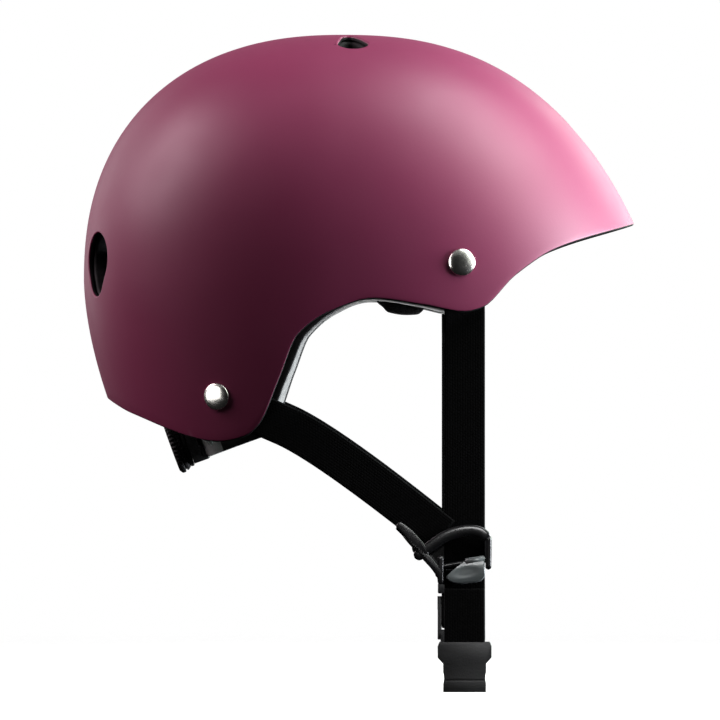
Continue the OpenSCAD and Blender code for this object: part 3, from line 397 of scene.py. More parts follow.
def unit(v):
    return v / np.maximum(np.linalg.norm(v, axis=-1, keepdims=True), 1e-12)


def lengthAlong(line):
    return np.concatenate([[0.0], np.cumsum(np.linalg.norm(np.diff(line, axis=0), axis=1))])


def resample(line, count, endpoint=True):
    s = lengthAlong(line)
    at = np.linspace(0, s[-1], count, endpoint=endpoint)
    return np.stack([np.interp(at, s, values) for values in line.T], -1)


def fullTurn(count):
    return 2 * math.pi * np.arange(count) / count


def quarterTurn(count):
    return [math.pi / 2 * k / count for k in range(count + 1)]


def pairs(ring):
    # each point of a closed ring with the next one
    return zip(ring, ring[1:] + ring[:1])


def ringFaces(a, b):
    # quads between two closed rings with the same number of points
    return list(zip(a, a[1:] + a[:1], b[1:] + b[:1], b))


def tubeFaces(rows, count):
    # rows of closed rings, with a face over each end
    rings = [list(range(j * count, (j + 1) * count)) for j in range(rows)]
    faces = [tuple(rings[0]), tuple(rings[-1][::-1])]
    for a, b in zip(rings, rings[1:]):
        faces += ringFaces(a, b)
    return faces


def addPiece(name, points, faces, materials, body=None, slot=None, indexes=None, texture=None):
    mesh = bpy.data.meshes.new(name)
    mesh.from_pydata([tuple(float(v) * mm for v in p) for p in points], [], faces)
    for mat in materials:
        mesh.materials.append(mat)
    if indexes is not None:
        mesh.polygons.foreach_set("material_index", indexes)
    if texture is not None:
        layer = mesh.uv_layers.new(name="weave")
        for loop in mesh.loops:
            layer.data[loop.index].uv = texture[loop.vertex_index]
    bm = bmesh.new()
    bm.from_mesh(mesh)
    bmesh.ops.recalc_face_normals(bm, faces=bm.faces)
    bm.to_mesh(mesh)
    bm.free()
    mesh.shade_smooth()
    mesh.update()
    piece = bpy.data.objects.new(name, mesh)
    scene.collection.objects.link(piece)
    if body:
        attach(piece, body)
    return piece


def applyModifiers(piece):
    bpy.context.view_layer.update()
    graph = bpy.context.evaluated_depsgraph_get()
    mesh = bpy.data.meshes.new_from_object(piece.evaluated_get(graph))
    piece.modifiers.clear()
    old = piece.data
    piece.data = mesh
    bpy.data.meshes.remove(old)


softening = {"weld": 2e-6, "flat": 1.2, "sharp": 32.0, "steps": 3, "crease": 38.0}


def softenedCopy(node, name, body, mat, bevel):
    # a copy of a hard part with its edges rounded
    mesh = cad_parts[node].data.copy()
    mesh.name = name
    bm = bmesh.new()
    bm.from_mesh(mesh)
    bmesh.ops.remove_doubles(bm, verts=bm.verts, dist=softening["weld"])
    bmesh.ops.dissolve_limit(bm, angle_limit=math.radians(softening["flat"]), verts=bm.verts, edges=bm.edges)
    bmesh.ops.dissolve_degenerate(bm, dist=softening["weld"], edges=bm.edges)
    bm.to_mesh(mesh)
    bm.free()
    mesh.materials.clear()
    mesh.materials.append(mat)
    mesh.polygons.foreach_set("material_index", [0] * len(mesh.polygons))
    piece = bpy.data.objects.new(name, mesh)
    scene.collection.objects.link(piece)
    rounding = piece.modifiers.new("round", "BEVEL")
    rounding.width, rounding.segments = bevel * mm, softening["steps"]
    rounding.limit_method, rounding.angle_limit = "ANGLE", math.radians(softening["sharp"])
    rounding.harden_normals = False
    applyModifiers(piece)
    piece.data.shade_smooth()
    piece.data.set_sharp_from_angle(angle=math.radians(softening["crease"]))
    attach(piece, body)
    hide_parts(node)


# Form of the shell

form = {
    "crownH": 102.5, "crownX": -4.0, "frontLen": 178.0, "frontDepth": 289.0, "rearLen": 129.0, "rearDepth": 122.5,
    "halfWidth": 106.0, "sideDepth": 120.5, "curveRound": 2.35, "planRound": 2.2, "rearTuck": 12.2, "sideTuck": 2.7,
    "tuckDrop": 60.0, "shellT": 2.4, "linerGap": 0.5, "linerT": 22.0, "strapRoom": 4.5,
    "brimZ": 7.5, "archX": 11.0, "archZ": -30.0, "lobeX": 56.5, "lobeZ": -36.5, "heelX": -64.0, "heelZ": -100.5,
    "backZ": -76.0, "linerLip": 4.0, "linerRecess": 3.0, "brimRecess": 6.0, "linerShow": 1.0, "bunch": 11.5,
    "bowPower": 2.35,
}
crownH, crownX = form["crownH"], form["crownX"]
linerIn = form["shellT"] + form["linerGap"] + form["linerT"]


def dome(z, length, depth, power):
    t = np.clip((z - crownH + depth) / depth, 0.0, 1.0)
    return length * (1.0 - t ** power) ** (1.0 / power)


def drawIn(z, depth, amount):
    return amount * (np.maximum(0.0, crownH - depth - z) / form["tuckDrop"]) ** 1.7


def halfFront(z):
    return dome(z, form["frontLen"], form["frontDepth"], form["curveRound"] + 0.08)


def halfRear(z):
    return (dome(z, form["rearLen"], form["rearDepth"], form["curveRound"] - 0.05)
            - drawIn(z, form["rearDepth"], form["rearTuck"]))


def halfSide(z):
    return (dome(z, form["halfWidth"], form["sideDepth"], form["curveRound"])
            - drawIn(z, form["sideDepth"], form["sideTuck"]))


def reach(phi, z):
    c, s = np.cos(phi), np.sin(phi)
    lengthways = np.maximum(np.where(c >= 0, halfFront(z), halfRear(z)), 1e-6)
    sideways = np.maximum(halfSide(z), 1e-6)
    n = form["planRound"]
    return ((np.abs(c) / lengthways) ** n + (np.abs(s) / sideways) ** n) ** (-1.0 / n)


def skin(phi, z):
    r = reach(phi, z)
    return np.stack([crownX + r * np.cos(phi), r * np.sin(phi), z + 0.0 * r], -1)


def skinNormal(phi, z):
    e = np.clip((crownH - z) / 3.0, 1e-5, 1.0)
    turn = math.radians(1.0)
    return unit(np.cross(skin(phi + turn, z) - skin(phi - turn, z), skin(phi, z + e) - skin(phi, z - e)))


def sunk(phi, z, depth):
    return skin(phi, z) - np.expand_dims(depth + 0.0 * z, -1) * skinNormal(phi, z)


def sideY(x, z):
    lengthways = np.where(x >= crownX, halfFront(z), halfRear(z))
    n = form["planRound"]
    return halfSide(z) * (1.0 - np.clip(np.abs(x - crownX) / lengthways, 0, 1) ** n) ** (1.0 / n)


def lean(x, z):
    a = sideY(x + 1.0, z) - sideY(x - 1.0, z)
    b = sideY(x, z + 1.0) - sideY(x, z - 1.0)
    return np.sqrt(a * a + b * b + 4.0) / 2.0


def smooth(t):
    c = np.clip(t, 0.0, 1.0)
    return c * c * (3.0 - 2.0 * c)


def edgeLine():
    # the side view of the rim, from the tail over the heel, the arch and the lobe to the brim's tip
    tail = np.array([crownX - form["rearLen"] + 6.0, form["backZ"]])
    heel, arch, lobe = (np.array([form[key + "X"], form[key + "Z"]]) for key in ("heel", "arch", "lobe"))
    tip = np.array([crownX + float(halfFront(np.array(form["brimZ"]))), form["brimZ"]])

    def part(a, b, x, z):
        return a + (b - a) * np.array([x, z])

    return np.array([
        tail, part(tail, heel, 0.3, 0.45), heel, part(heel, arch, 0.16, 0.036), part(heel, arch, 0.254, 0.12),
        part(heel, arch, 0.387, 0.44), part(heel, arch, 0.507, 0.745), part(heel, arch, 0.733, 0.915), arch,
        part(arch, lobe, 0.55, 0.475), lobe, part(lobe, tip, 0.102, 0.048), part(lobe, tip, 0.295, 0.413),
        part(lobe, tip, 0.522, 0.704), tip])


edgePoints = edgeLine()


def edgeZ(x):
    # a smooth line through the rim's points that doesn't overshoot them
    px, pz = edgePoints[:, 0], edgePoints[:, 1]
    rise = np.diff(pz) / np.diff(px)
    inner = np.where(rise[:-1] * rise[1:] <= 0, 0.0, 2.0 * rise[:-1] * rise[1:] / (rise[:-1] + rise[1:] + 1e-12))
    slope = np.concatenate([[rise[0]], inner, [rise[-1]]])
    i = np.clip(np.searchsorted(px, x, side="right") - 1, 0, len(px) - 2)
    h = px[i + 1] - px[i]
    t = np.clip((x - px[i]) / h, 0.0, 1.0)
    return (pz[i] * (1 + 2 * t) * (1 - t) ** 2 + slope[i] * h * t * (1 - t) ** 2
            + pz[i + 1] * t * t * (3 - 2 * t) + slope[i + 1] * h * t * t * (t - 1))


def linerEdgeZ(x):
    ahead = x - form["linerLip"] * smooth((form["archX"] - 5.0 - x) / 25.0)
    recess = np.where(x > form["archX"], form["brimRecess"], form["linerRecess"])
    lift = recess * smooth((np.abs(x - form["archX"] - 4.0) - 36.0) / 14.0)
    return edgeZ(ahead) + lift - form["linerShow"]


def rimZ(phi, lined):
    # the height at which the skin meets the rim's line, found by halving
    low, high = np.full(phi.shape, -141.0), np.full(phi.shape, 59.0)
    for _ in range(26):
        mid = (low + high) / 2.0
        x = crownX + reach(phi, mid) * np.cos(phi)
        above = mid - (linerEdgeZ(x) if lined else edgeZ(x)) > 0
        high, low = np.where(above, mid, high), np.where(above, low, mid)
    return (low + high) / 2.0


def columns(count):
    u = fullTurn(count)
    return u + math.radians(form["bunch"]) * np.sin(2 * u)


# Vents: teardrop outlines in a plane, cut straight in

ventSizes = {
    "petalR": 7.5, "petalTipR": 3.0, "petalIn": 20.0, "petalOut": 47.0, "petalLongOut": 61.0, "petalTurn": 8.0,
    "browR": 11.0, "browLowR": 6.0, "browZ": 48.0, "browRun": 8.0, "browDrop": 2.0, "rearR": 13.5, "rearLowR": 9.0,
    "rearRun": 9.2, "rearY": 40.0, "rearZ": -12.5, "ring": 72, "inner": 0.6, "margin": 0.5,
}


def ventFrames(grow):
    # four petals round the crown, one vent over the brow and two at the rear
    v = ventSizes
    frames = []
    for turn, far in ((90 - v["petalTurn"], v["petalOut"]), (270 + v["petalTurn"], v["petalOut"]),
                      (0, v["petalLongOut"]), (180, v["petalLongOut"])):
        a = math.radians(turn)
        ex = np.array([math.cos(a), math.sin(a), 0.0])
        start = far - v["petalOut"] + v["petalIn"] + v["petalTipR"]
        frames.append({"at": np.array([crownX, 0.0, crownH]) + start * ex, "ex": ex,
                       "ey": np.array([-ex[1], ex[0], 0.0]), "small": v["petalTipR"] + grow,
                       "big": v["petalR"] + grow, "run": far - v["petalR"] - start})

    def square(phi, z):
        n = skinNormal(np.array([phi]), np.array([z]))[0]
        az = math.atan2(n[1], n[0])
        down = np.array([n[2] * math.cos(az), n[2] * math.sin(az), -math.hypot(n[0], n[1])])
        return skin(np.array([phi]), np.array([z]))[0], down, np.array([-math.sin(az), math.cos(az), 0.0])

    at, down, along = square(0.0, v["browZ"])
    frames.append({"at": at + v["browDrop"] * down, "ex": -down, "ey": -along, "small": v["browLowR"] + grow,
                   "big": v["browR"] + grow, "run": v["browRun"]})
    turn = math.pi - math.asin(v["rearY"] / (form["rearLen"] - crownX))
    for side in (-1, 1):
        at, down, along = square(side * turn, v["rearZ"])
        low = at + (v["rearRun"] + v["rearR"] - v["rearLowR"]) / 2 * down
        frames.append({"at": low, "ex": -down, "ey": -along, "small": v["rearLowR"] + grow,
                       "big": v["rearR"] + grow, "run": v["rearRun"]})
    for f in frames:
        f["out"] = np.cross(f["ex"], f["ey"])
        if np.dot(f["out"], f["at"] - np.array([crownX, 0, 0])) < 0:
            f["out"] = -f["out"]
    return frames


def inVentPlane(f, points):
    d = points - f["at"]
    return np.stack([d @ f["ex"], d @ f["ey"]], -1)


def dropDistance(f, p):
    # distance to the teardrop's outline, negative inside
    along, across = p[..., 0], np.abs(p[..., 1])
    b = (f["small"] - f["big"]) / f["run"]
    a = math.sqrt(1.0 - b * b)
    cap0 = np.hypot(along, across) - f["small"]
    cap1 = np.hypot(along - f["run"], across) - f["big"]
    side = across * a + along * b - f["small"]
    t = along * a - across * b
    return np.where(t < 0, cap0, np.where(t > a * f["run"], cap1, side))


def dropSlope(f, p):
    e = 1e-3
    gx = dropDistance(f, p + [e, 0]) - dropDistance(f, p - [e, 0])
    gy = dropDistance(f, p + [0, e]) - dropDistance(f, p - [0, e])
    return unit(np.stack([gx, gy], -1))


def dropRing(f, distance, count):
    # regular points round the outline at a distance outside it
    bend = math.asin((f["big"] - f["small"]) / f["run"])
    big, small = f["big"] + distance, f["small"] + distance
    line = [(f["run"] + big * math.cos(k), big * math.sin(k))
            for k in np.linspace(-math.pi / 2 - bend, math.pi / 2 + bend, 200)]
    line += [(small * math.cos(k), small * math.sin(k))
             for k in np.linspace(math.pi / 2 + bend, 3 * math.pi / 2 - bend, 120)]
    return resample(np.array(line + line[:1]), count, False)


def wToZ(w):
    # w runs evenly down the bowl, from 0 at the crown
    return crownH - 100.0 * np.maximum(w, 0.0) ** form["bowPower"]


def zToW(z):
    return ((crownH - z) / 100.0) ** (1.0 / form["bowPower"])


def surfacePoint(phi, w, depthAt):
    z = wToZ(w)
    return sunk(phi, z, depthAt(phi, z))


def solveOnSurface(f, phi, w, target, depthAt):
    # move phi and w until the surface point lies at the target in the vent's plane
    e = 1e-4
    for _ in range(14):
        here = inVentPlane(f, surfacePoint(phi, w, depthAt))
        dp = (inVentPlane(f, surfacePoint(phi + e, w, depthAt)) - here) / e
        dw = (inVentPlane(f, surfacePoint(phi, w + e, depthAt)) - here) / e
        miss = target - here
        det = dp[..., 0] * dw[..., 1] - dp[..., 1] * dw[..., 0]
        det = np.where(np.abs(det) < 1e-9, 1e-9, det)
        stepP = (miss[..., 0] * dw[..., 1] - miss[..., 1] * dw[..., 0]) / det
        stepW = (dp[..., 0] * miss[..., 1] - dp[..., 1] * miss[..., 0]) / det
        phi = phi + np.clip(stepP, -0.25, 0.25)
        w = np.maximum(w + np.clip(stepW, -0.05, 0.05), 0.01)
    return phi, w


def cutSurface(phi, rows, rimW, depthAt, frames, margin):
    # a grid from the crown to the rim with the vents cut out of it: points, faces and one open loop for each vent
    cols = len(phi)
    steps = np.arange(1, rows + 1) / rows
    gridPhi = np.concatenate([[0.0], np.tile(phi, (rows, 1)).ravel()])
    gridW = np.concatenate([[0.0], (steps[:, None] * rimW[None, :]).ravel()])
    points = surfacePoint(gridPhi, gridW, depthAt)
    gap = np.full(len(points), 1e3)
    owner = np.full(len(points), -1)
    for n, f in enumerate(frames):
        d = dropDistance(f, inVentPlane(f, points)) - margin
        facing = (points - f["at"]) @ f["out"]
        d = np.where(facing > -45.0, d, 1e3)
        d = np.where(np.linalg.norm(points - f["at"], axis=1) < 60.0, d, 1e3)
        owner = np.where(d < gap, n, owner)
        gap = np.minimum(gap, d)
    for n, f in enumerate(frames):  # vertices close to an outline move onto it
        near = (owner == n) & (np.abs(gap) < 0.3)
        near[0] = False
        if near.any():
            local = inVentPlane(f, points[near])
            target = local - gap[near][:, None] * dropSlope(f, local)
            gridPhi[near], gridW[near] = solveOnSurface(f, gridPhi[near], gridW[near], target, depthAt)
            gap[near] = 0.0
    cells = [(0, 1 + k, 1 + (k + 1) % cols) for k in range(cols)]
    for j in range(rows - 1):
        a = 1 + j * cols
        for k in range(cols):
            m = (k + 1) % cols
            cells.append((a + k, a + cols + k, a + cols + m, a + m))
    made = {}  # one new point for each grid edge that crosses an outline, all solved together
    for cell in cells:
        for i, j in pairs(cell):
            if gap[i] * gap[j] < 0:
                made.setdefault((min(i, j), max(i, j)), len(gap) + len(made))
    i, j = np.array(list(made)).T
    owners = np.where(gap[i] < 0, owner[i], owner[j])
    share = gap[i] / (gap[i] - gap[j])
    newPhi = gridPhi[i] + share * np.angle(np.exp(1j * (gridPhi[j] - gridPhi[i])))
    newW = gridW[i] + share * (gridW[j] - gridW[i])
    for n, f in enumerate(frames):
        mine = owners == n
        for _ in range(3):
            local = inVentPlane(f, surfacePoint(newPhi[mine], newW[mine], depthAt))
            target = local - (dropDistance(f, local) - margin)[:, None] * dropSlope(f, local)
            newPhi[mine], newW[mine] = solveOnSurface(f, newPhi[mine], newW[mine], target, depthAt)
    pointPhi, pointW = np.concatenate([gridPhi, newPhi]), np.concatenate([gridW, newW])
    place = list(surfacePoint(pointPhi, pointW, depthAt))
    faces = []
    for cell in cells:
        signs = [gap[i] for i in cell]
        if min(signs) >= 0:
            faces.append(cell)
        elif max(signs) > 0:
            shape = []
            for i, j in pairs(cell):
                if gap[i] >= 0:
                    shape.append(i)
                if gap[i] * gap[j] < 0:
                    shape.append(made[(min(i, j), max(i, j))])
            if len(shape) > 2:
                faces.append(tuple(shape))
    edges = dict.fromkeys(edge for face in faces for edge in pairs(face))
    following = {}
    rimFirst = 1 + (rows - 1) * cols
    for i, j in edges:
        if (j, i) not in edges and not (rimFirst <= i < rimFirst + cols and rimFirst <= j < rimFirst + cols):
            following[i] = j
    loops = []
    while following:
        start = next(iter(following))
        loop, here = [start], following.pop(start)
        while here != start:
            loop.append(here)
            here = following.pop(here)
        loops.append(loop)
    loops.sort(key=len)
    while len(loops) > len(frames):  # a stray gap beside an outline is closed
        faces.append(tuple(reversed(loops.pop(0))))
    rim = [rimFirst + k for k in range(cols)]
    return place, pointPhi, pointW, faces, loops, rim


def zipLoops(loopA, angleA, loopB, angleB):
    # triangles between two closed loops with different numbers of points, both sorted by angle
    a = [loopA[k] for k in np.argsort(angleA)]
    b = [loopB[k] for k in np.argsort(angleB)]
    ta, tb = np.sort(angleA), np.sort(angleB)
    i = j = 0
    faces = []
    while i < len(a) or j < len(b):
        nextA = ta[i % len(a)] + (2 * math.pi if i >= len(a) else 0)
        nextB = tb[j % len(b)] + (2 * math.pi if j >= len(b) else 0)
        if j >= len(b) or (i < len(a) and nextA <= nextB):
            faces.append((a[i % len(a)], a[(i + 1) % len(a)], b[j % len(b)]))
            i += 1
        else:
            faces.append((a[i % len(a)], b[(j + 1) % len(b)], b[j % len(b)]))
            j += 1
    return faces


def thickBowl(name, cols, rows, lined, depthOut, depthIn, ventRound, rimRound, frames, walls, materials, slot):
    # a bowl between two depths below the skin, with rounded vents and a rounded rim
    phi = columns(cols)
    rim = rimZ(phi, lined)
    upZ = rim + rimRound
    inRound = ventRound * ventSizes["inner"]
    outCut = cutSurface(phi, rows, zToW(upZ), depthOut, frames, ventRound + ventSizes["margin"])
    inCut = cutSurface(phi, rows, zToW(upZ), depthIn, frames, inRound + ventSizes["margin"])
    shift = len(outCut[0])
    points = outCut[0] + inCut[0]
    faces, kinds = [], []  # 0 is the outside, 1 the inside and 2 the band round a lined rim

    def addFaces(new, kind):
        faces.extend(new)
        kinds.extend([kind] * len(new))

    def addRing(ring):
        points.extend(ring)
        return list(range(len(points) - len(ring), len(points)))

    def turnsOf(f, flat):
        # rounded, so that points that share a turn are joined in the same way each time
        return np.round(np.arctan2(flat[:, 1], flat[:, 0] - f["run"] * 0.55), 9)

    def loopAt(cut, f):
        # the open loop of a cut at a vent, with the turns of its points
        loop = min(cut[4], key=lambda l: np.linalg.norm(np.mean([cut[0][i] for i in l], axis=0) - f["at"]))
        return loop, turnsOf(f, inVentPlane(f, np.array([cut[0][i] for i in loop])))

    addFaces(outCut[3], 0)
    addFaces([tuple(shift + i for i in reversed(face)) for face in inCut[3]], 1)
    arc = quarterTurn(5)
    for f in frames:
        outLoop, outTurn = loopAt(outCut, f)
        inLoop, inTurn = loopAt(inCut, f)
        rings = [("out", ventRound * (1 - math.sin(a)), ventRound * (1 - math.cos(a)), 0) for a in arc]
        rings += [("wall", 0.0, k / (walls + 1), 1) for k in range(1, walls + 1)]
        rings += [("in", inRound * (1 - math.sin(a)), inRound * (1 - math.cos(a)), 1) for a in reversed(arc)]
        before = None
        for place, distance, depth, kind in rings:
            def depthHere(p, z):
                if place == "out":
                    return depthOut(p, z) + depth
                if place == "in":
                    return depthIn(p, z) - depth
                high, low = depthOut(p, z) + ventRound, depthIn(p, z) - inRound
                return high + (low - high) * depth

            target = dropRing(f, distance, ventSizes["ring"])
            turns = turnsOf(f, target)
            near = [outLoop[int(np.argmin(np.abs(np.angle(np.exp(1j * (outTurn - t))))))] for t in turns]
            solved = solveOnSurface(f, outCut[1][near], outCut[2][near], target, depthHere)
            index = addRing(surfacePoint(*solved, depthHere))
            addFaces(ringFaces(before, index) if before else zipLoops(outLoop, outTurn, index, turns), kind)
            before = index
        addFaces(zipLoops(before, turns, [shift + i for i in inLoop], inTurn), 1)

    # the rim: two rounded corners, and a level band between them if the bowl is lined
    down = unit(skin(phi, rim) - skin(phi, upZ))
    high, low = depthOut(phi, upZ), depthIn(phi, upZ)
    corner = np.minimum(rimRound, (low - high) / 2.0)
    arc = quarterTurn(6)[1:]
    rings = [(high + corner * (1 - math.cos(a)), math.sin(a), 0 if a < 0.7 else 2 if lined else 1) for a in arc]
    if lined:
        rings += [(high + corner + (low - high - 2 * corner) * (k / 7), 1.0, 2) for k in range(1, 7)]
    rings += [(low - corner * (1 - math.cos(a)), math.sin(a), 2 if lined and a > 0.9 else 1)
              for a in reversed(arc if lined else arc[:-1])]
    before = outCut[5]
    for depth, fall, kind in rings:
        index = addRing(sunk(phi, upZ, depth) + down * (corner * fall)[:, None])
        addFaces(ringFaces(before, index), kind)
        before = index
    addFaces(ringFaces(before, [shift + i for i in inCut[5]]), 1)
    return addPiece(name, points, faces, materials, "helmet", slot, kinds)


def evenDepth(depth):
    return lambda phi, z: depth + 0.0 * z


def foamTop(phi, z):
    # the foam leaves room for the webbing at the sides
    room = form["strapRoom"] * smooth((28.0 - z) / 20.0) * smooth((np.abs(np.sin(phi)) - 0.42) / 0.25)
    return form["shellT"] + form["linerGap"] + room


shellPiece = thickBowl("shellSkin", 300, 100, False, evenDepth(0.0), evenDepth(form["shellT"]), 0.8, 1.2,
                       ventFrames(0.0), 1, [satinPaint, insideBlack], "shell")
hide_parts("outer_shell")
print("shell made:", len(shellPiece.data.polygons), "faces")
# the liner's outside, inside and vent walls take black foam, which paints the shade in the vents and under the shell's
# edge; its rim band takes grey foam
linerPiece = thickBowl("linerFoam", 240, 80, True, foamTop, evenDepth(linerIn), 1.5, 3.0, ventFrames(-1.0), 6,
                       [shadeBlackFoam, shadeBlackFoam, greyFoam], "foam")
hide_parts("liner")
print("liner made:", len(linerPiece.data.polygons), "faces")

# Pads: quilted shapes, blown up a little as cloth

padSizes = {
    "gap": 0.6, "thick": 7.0, "voxel": 4.0, "pressure": 4.0, "frames": 20, "columns": 30, "rows": 16, "swelling": 1.8,
    "pullEnds": 0.035, "pullSides": 0.08, "cutCorners": 0.1, "fullness": 0.8, "groove": 1.3, "grooveWidth": 1.5,
    "border": 5.0, "sag": 13.0, "sagWide": 18.0,
}
pads = {
    "browPad": {"node": "front_pad", "from": -42, "to": 42, "low": 4, "high": 34, "rise": 6, "channels": (-15, 15)},
    "rearHeadPad": {"node": "rear_pad", "from": 150, "to": 210, "low": -38, "high": 0, "rise": 6, "channels": (180,)},
    "earPadLeft": {"node": "side_pad_left", "from": 62, "to": 122, "low": -62, "high": 22, "rise": 2.5,
                   "channels": (90, 106), "sagAt": 74},
    "earPadRight": {"node": "side_pad_right", "from": -62, "to": -122, "low": -62, "high": 22, "rise": 2.5,
                    "channels": (-90, -106), "sagAt": -74},
}


def swell(t):
    return np.sqrt(np.maximum(0.0, 1.0 - np.abs(2.0 * t - 1.0) ** 3))


def padBottom(pad, phi):
    # the line of a pad's lower edge: it follows the liner's rim, and an ear pad sags below it towards the front
    line = rimZ(phi, True) + pad["rise"]
    if "sagAt" in pad:
        off = (np.degrees(phi) - pad["sagAt"]) / padSizes["sagWide"]
        line = line - padSizes["sag"] * smooth(1.0 - np.abs(off))
    return np.maximum(pad["low"], line)


def padGrid(pad):
    # a pad's places on the liner: its sides are drawn in a little and its corners cut
    p = padSizes
    u, v = np.meshgrid(np.linspace(0, 1, p["columns"]), np.linspace(0, 1, p["rows"]))
    cut = 1.0 - p["cutCorners"] * (np.abs(2 * u - 1) * np.abs(2 * v - 1)) ** 3
    across = 0.5 + (u - 0.5) * cut * (1.0 - p["pullEnds"] * 4 * v * (1 - v))
    down = 0.5 + (v - 0.5) * cut * (1.0 - p["pullSides"] * 4 * u * (1 - u))
    phi = np.radians(pad["from"] + (pad["to"] - pad["from"]) * across)
    bottom = padBottom(pad, phi)
    return u, v, phi, pad["high"] + (bottom - pad["high"]) * down


def closedSlab(first, second):
    # two grids of the same size joined all round their edges
    rows, cols = first.shape[:2]
    points = list(first.reshape(-1, 3)) + list(second.reshape(-1, 3))
    shift = rows * cols
    faces = []
    for j in range(rows - 1):
        for k in range(cols - 1):
            a, b = j * cols + k, (j + 1) * cols + k
            faces += [(a, b, b + 1, a + 1), (shift + a, shift + a + 1, shift + b + 1, shift + b)]
    border = ([(0, k) for k in range(cols)] + [(j, cols - 1) for j in range(1, rows)]
              + [(rows - 1, k) for k in range(cols - 2, -1, -1)] + [(j, 0) for j in range(rows - 2, 0, -1)])
    ring = [j * cols + k for j, k in border]
    return points, faces + [(a, b, shift + b, shift + a) for a, b in pairs(ring)]


def depthOf(points):
    # the direction, height and depth below the shell's skin of points inside it
    foot = points.copy()
    for _ in range(5):
        phi, z = np.arctan2(foot[:, 1], foot[:, 0] - crownX), np.minimum(foot[:, 2], crownH - 0.05)
        base, normal = skin(phi, z), skinNormal(phi, z)
        depth = np.sum((base - points) * normal, axis=1)
        foot = points + depth[:, None] * normal
    return phi, z, depth, normal


def takePoints(piece):
    return np.array([v.co for v in piece.data.vertices]) / mm


def givePoints(piece, points):
    piece.data.vertices.foreach_set("co", (points * mm).ravel())
    piece.data.update()


def blowUp(piece, voxel, cap):
    # even mesh, cloth pressure, capped movement, one subdivision
    even = piece.modifiers.new("even", "REMESH")
    even.mode, even.voxel_size = "VOXEL", voxel * mm
    applyModifiers(piece)
    start = takePoints(piece)
    cloth = piece.modifiers.new("swelling", "CLOTH")
    cloth.settings.use_pressure = True
    cloth.settings.uniform_pressure_force = padSizes["pressure"]
    cloth.settings.effector_weights.gravity = 0.0
    cloth.point_cache.frame_start, cloth.point_cache.frame_end = 1, padSizes["frames"]
    for step in range(1, padSizes["frames"] + 1):
        scene.frame_set(step)
    applyModifiers(piece)
    scene.frame_set(1)
    move = takePoints(piece) - start
    size = np.linalg.norm(move, axis=1, keepdims=True)
    givePoints(piece, start + move * np.minimum(1.0, cap / np.maximum(size, 1e-9)))
    finer = piece.modifiers.new("finer", "SUBSURF")
    finer.levels = finer.render_levels = 2
    applyModifiers(piece)
    piece.data.shade_smooth()


def layOnFoam(piece, seat, dentAt):
    # the flat side rests on the liner, and seams are drawn in on the other side
    points = takePoints(piece)
    phi, z, depth, normal = depthOf(points)
    resting = np.maximum(depth, seat)
    dent = dentAt(phi, z) * smooth((depth - seat - 1.5) / 1.5)
    givePoints(piece, points - (resting - depth)[:, None] * normal + dent[:, None] * normal)


def makePad(name, pad):
    u, v, phi, z = padGrid(pad)
    seat = linerIn + padSizes["gap"]
    rise = 1.0 + (padSizes["thick"] - 1.0) * swell(u) * swell(v) * padSizes["fullness"]
    points, faces = closedSlab(sunk(phi, z, seat + 0.2 + 0.0 * z), sunk(phi, z, seat + 0.8 + rise))
    piece = addPiece(name, points, faces, [blackCloth], "helmet", "pad_cloth")
    blowUp(piece, padSizes["voxel"], padSizes["swelling"])
    turns = np.radians(np.array(sorted((pad["from"], pad["to"]))))
    lanes = np.radians(np.array(pad["channels"], float))

    def dents(phi, z):
        turn = np.where(phi < turns[0] - 0.5, phi + 2 * math.pi, phi)
        radius = reach(turn, z) - linerIn
        inset = np.minimum(np.minimum(turn - turns[0], turns[1] - turn) * radius,
                           np.minimum(z - padBottom(pad, turn), pad["high"] - z))
        deep = np.exp(-((inset - padSizes["border"]) / padSizes["grooveWidth"]) ** 2)
        for lane in lanes:
            away = (turn - lane) * radius
            deep = np.maximum(deep, np.exp(-(away / padSizes["grooveWidth"]) ** 2) * smooth((inset - 3.0) / 3.0))
        return padSizes["groove"] * deep

    layOnFoam(piece, seat, dents)
    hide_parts(pad["node"])


for padName, padValues in pads.items():
    makePad(padName, padValues)

crownPad = {"drop": 4.2, "rings": 12, "around": 64, "seamAt": 0.62}


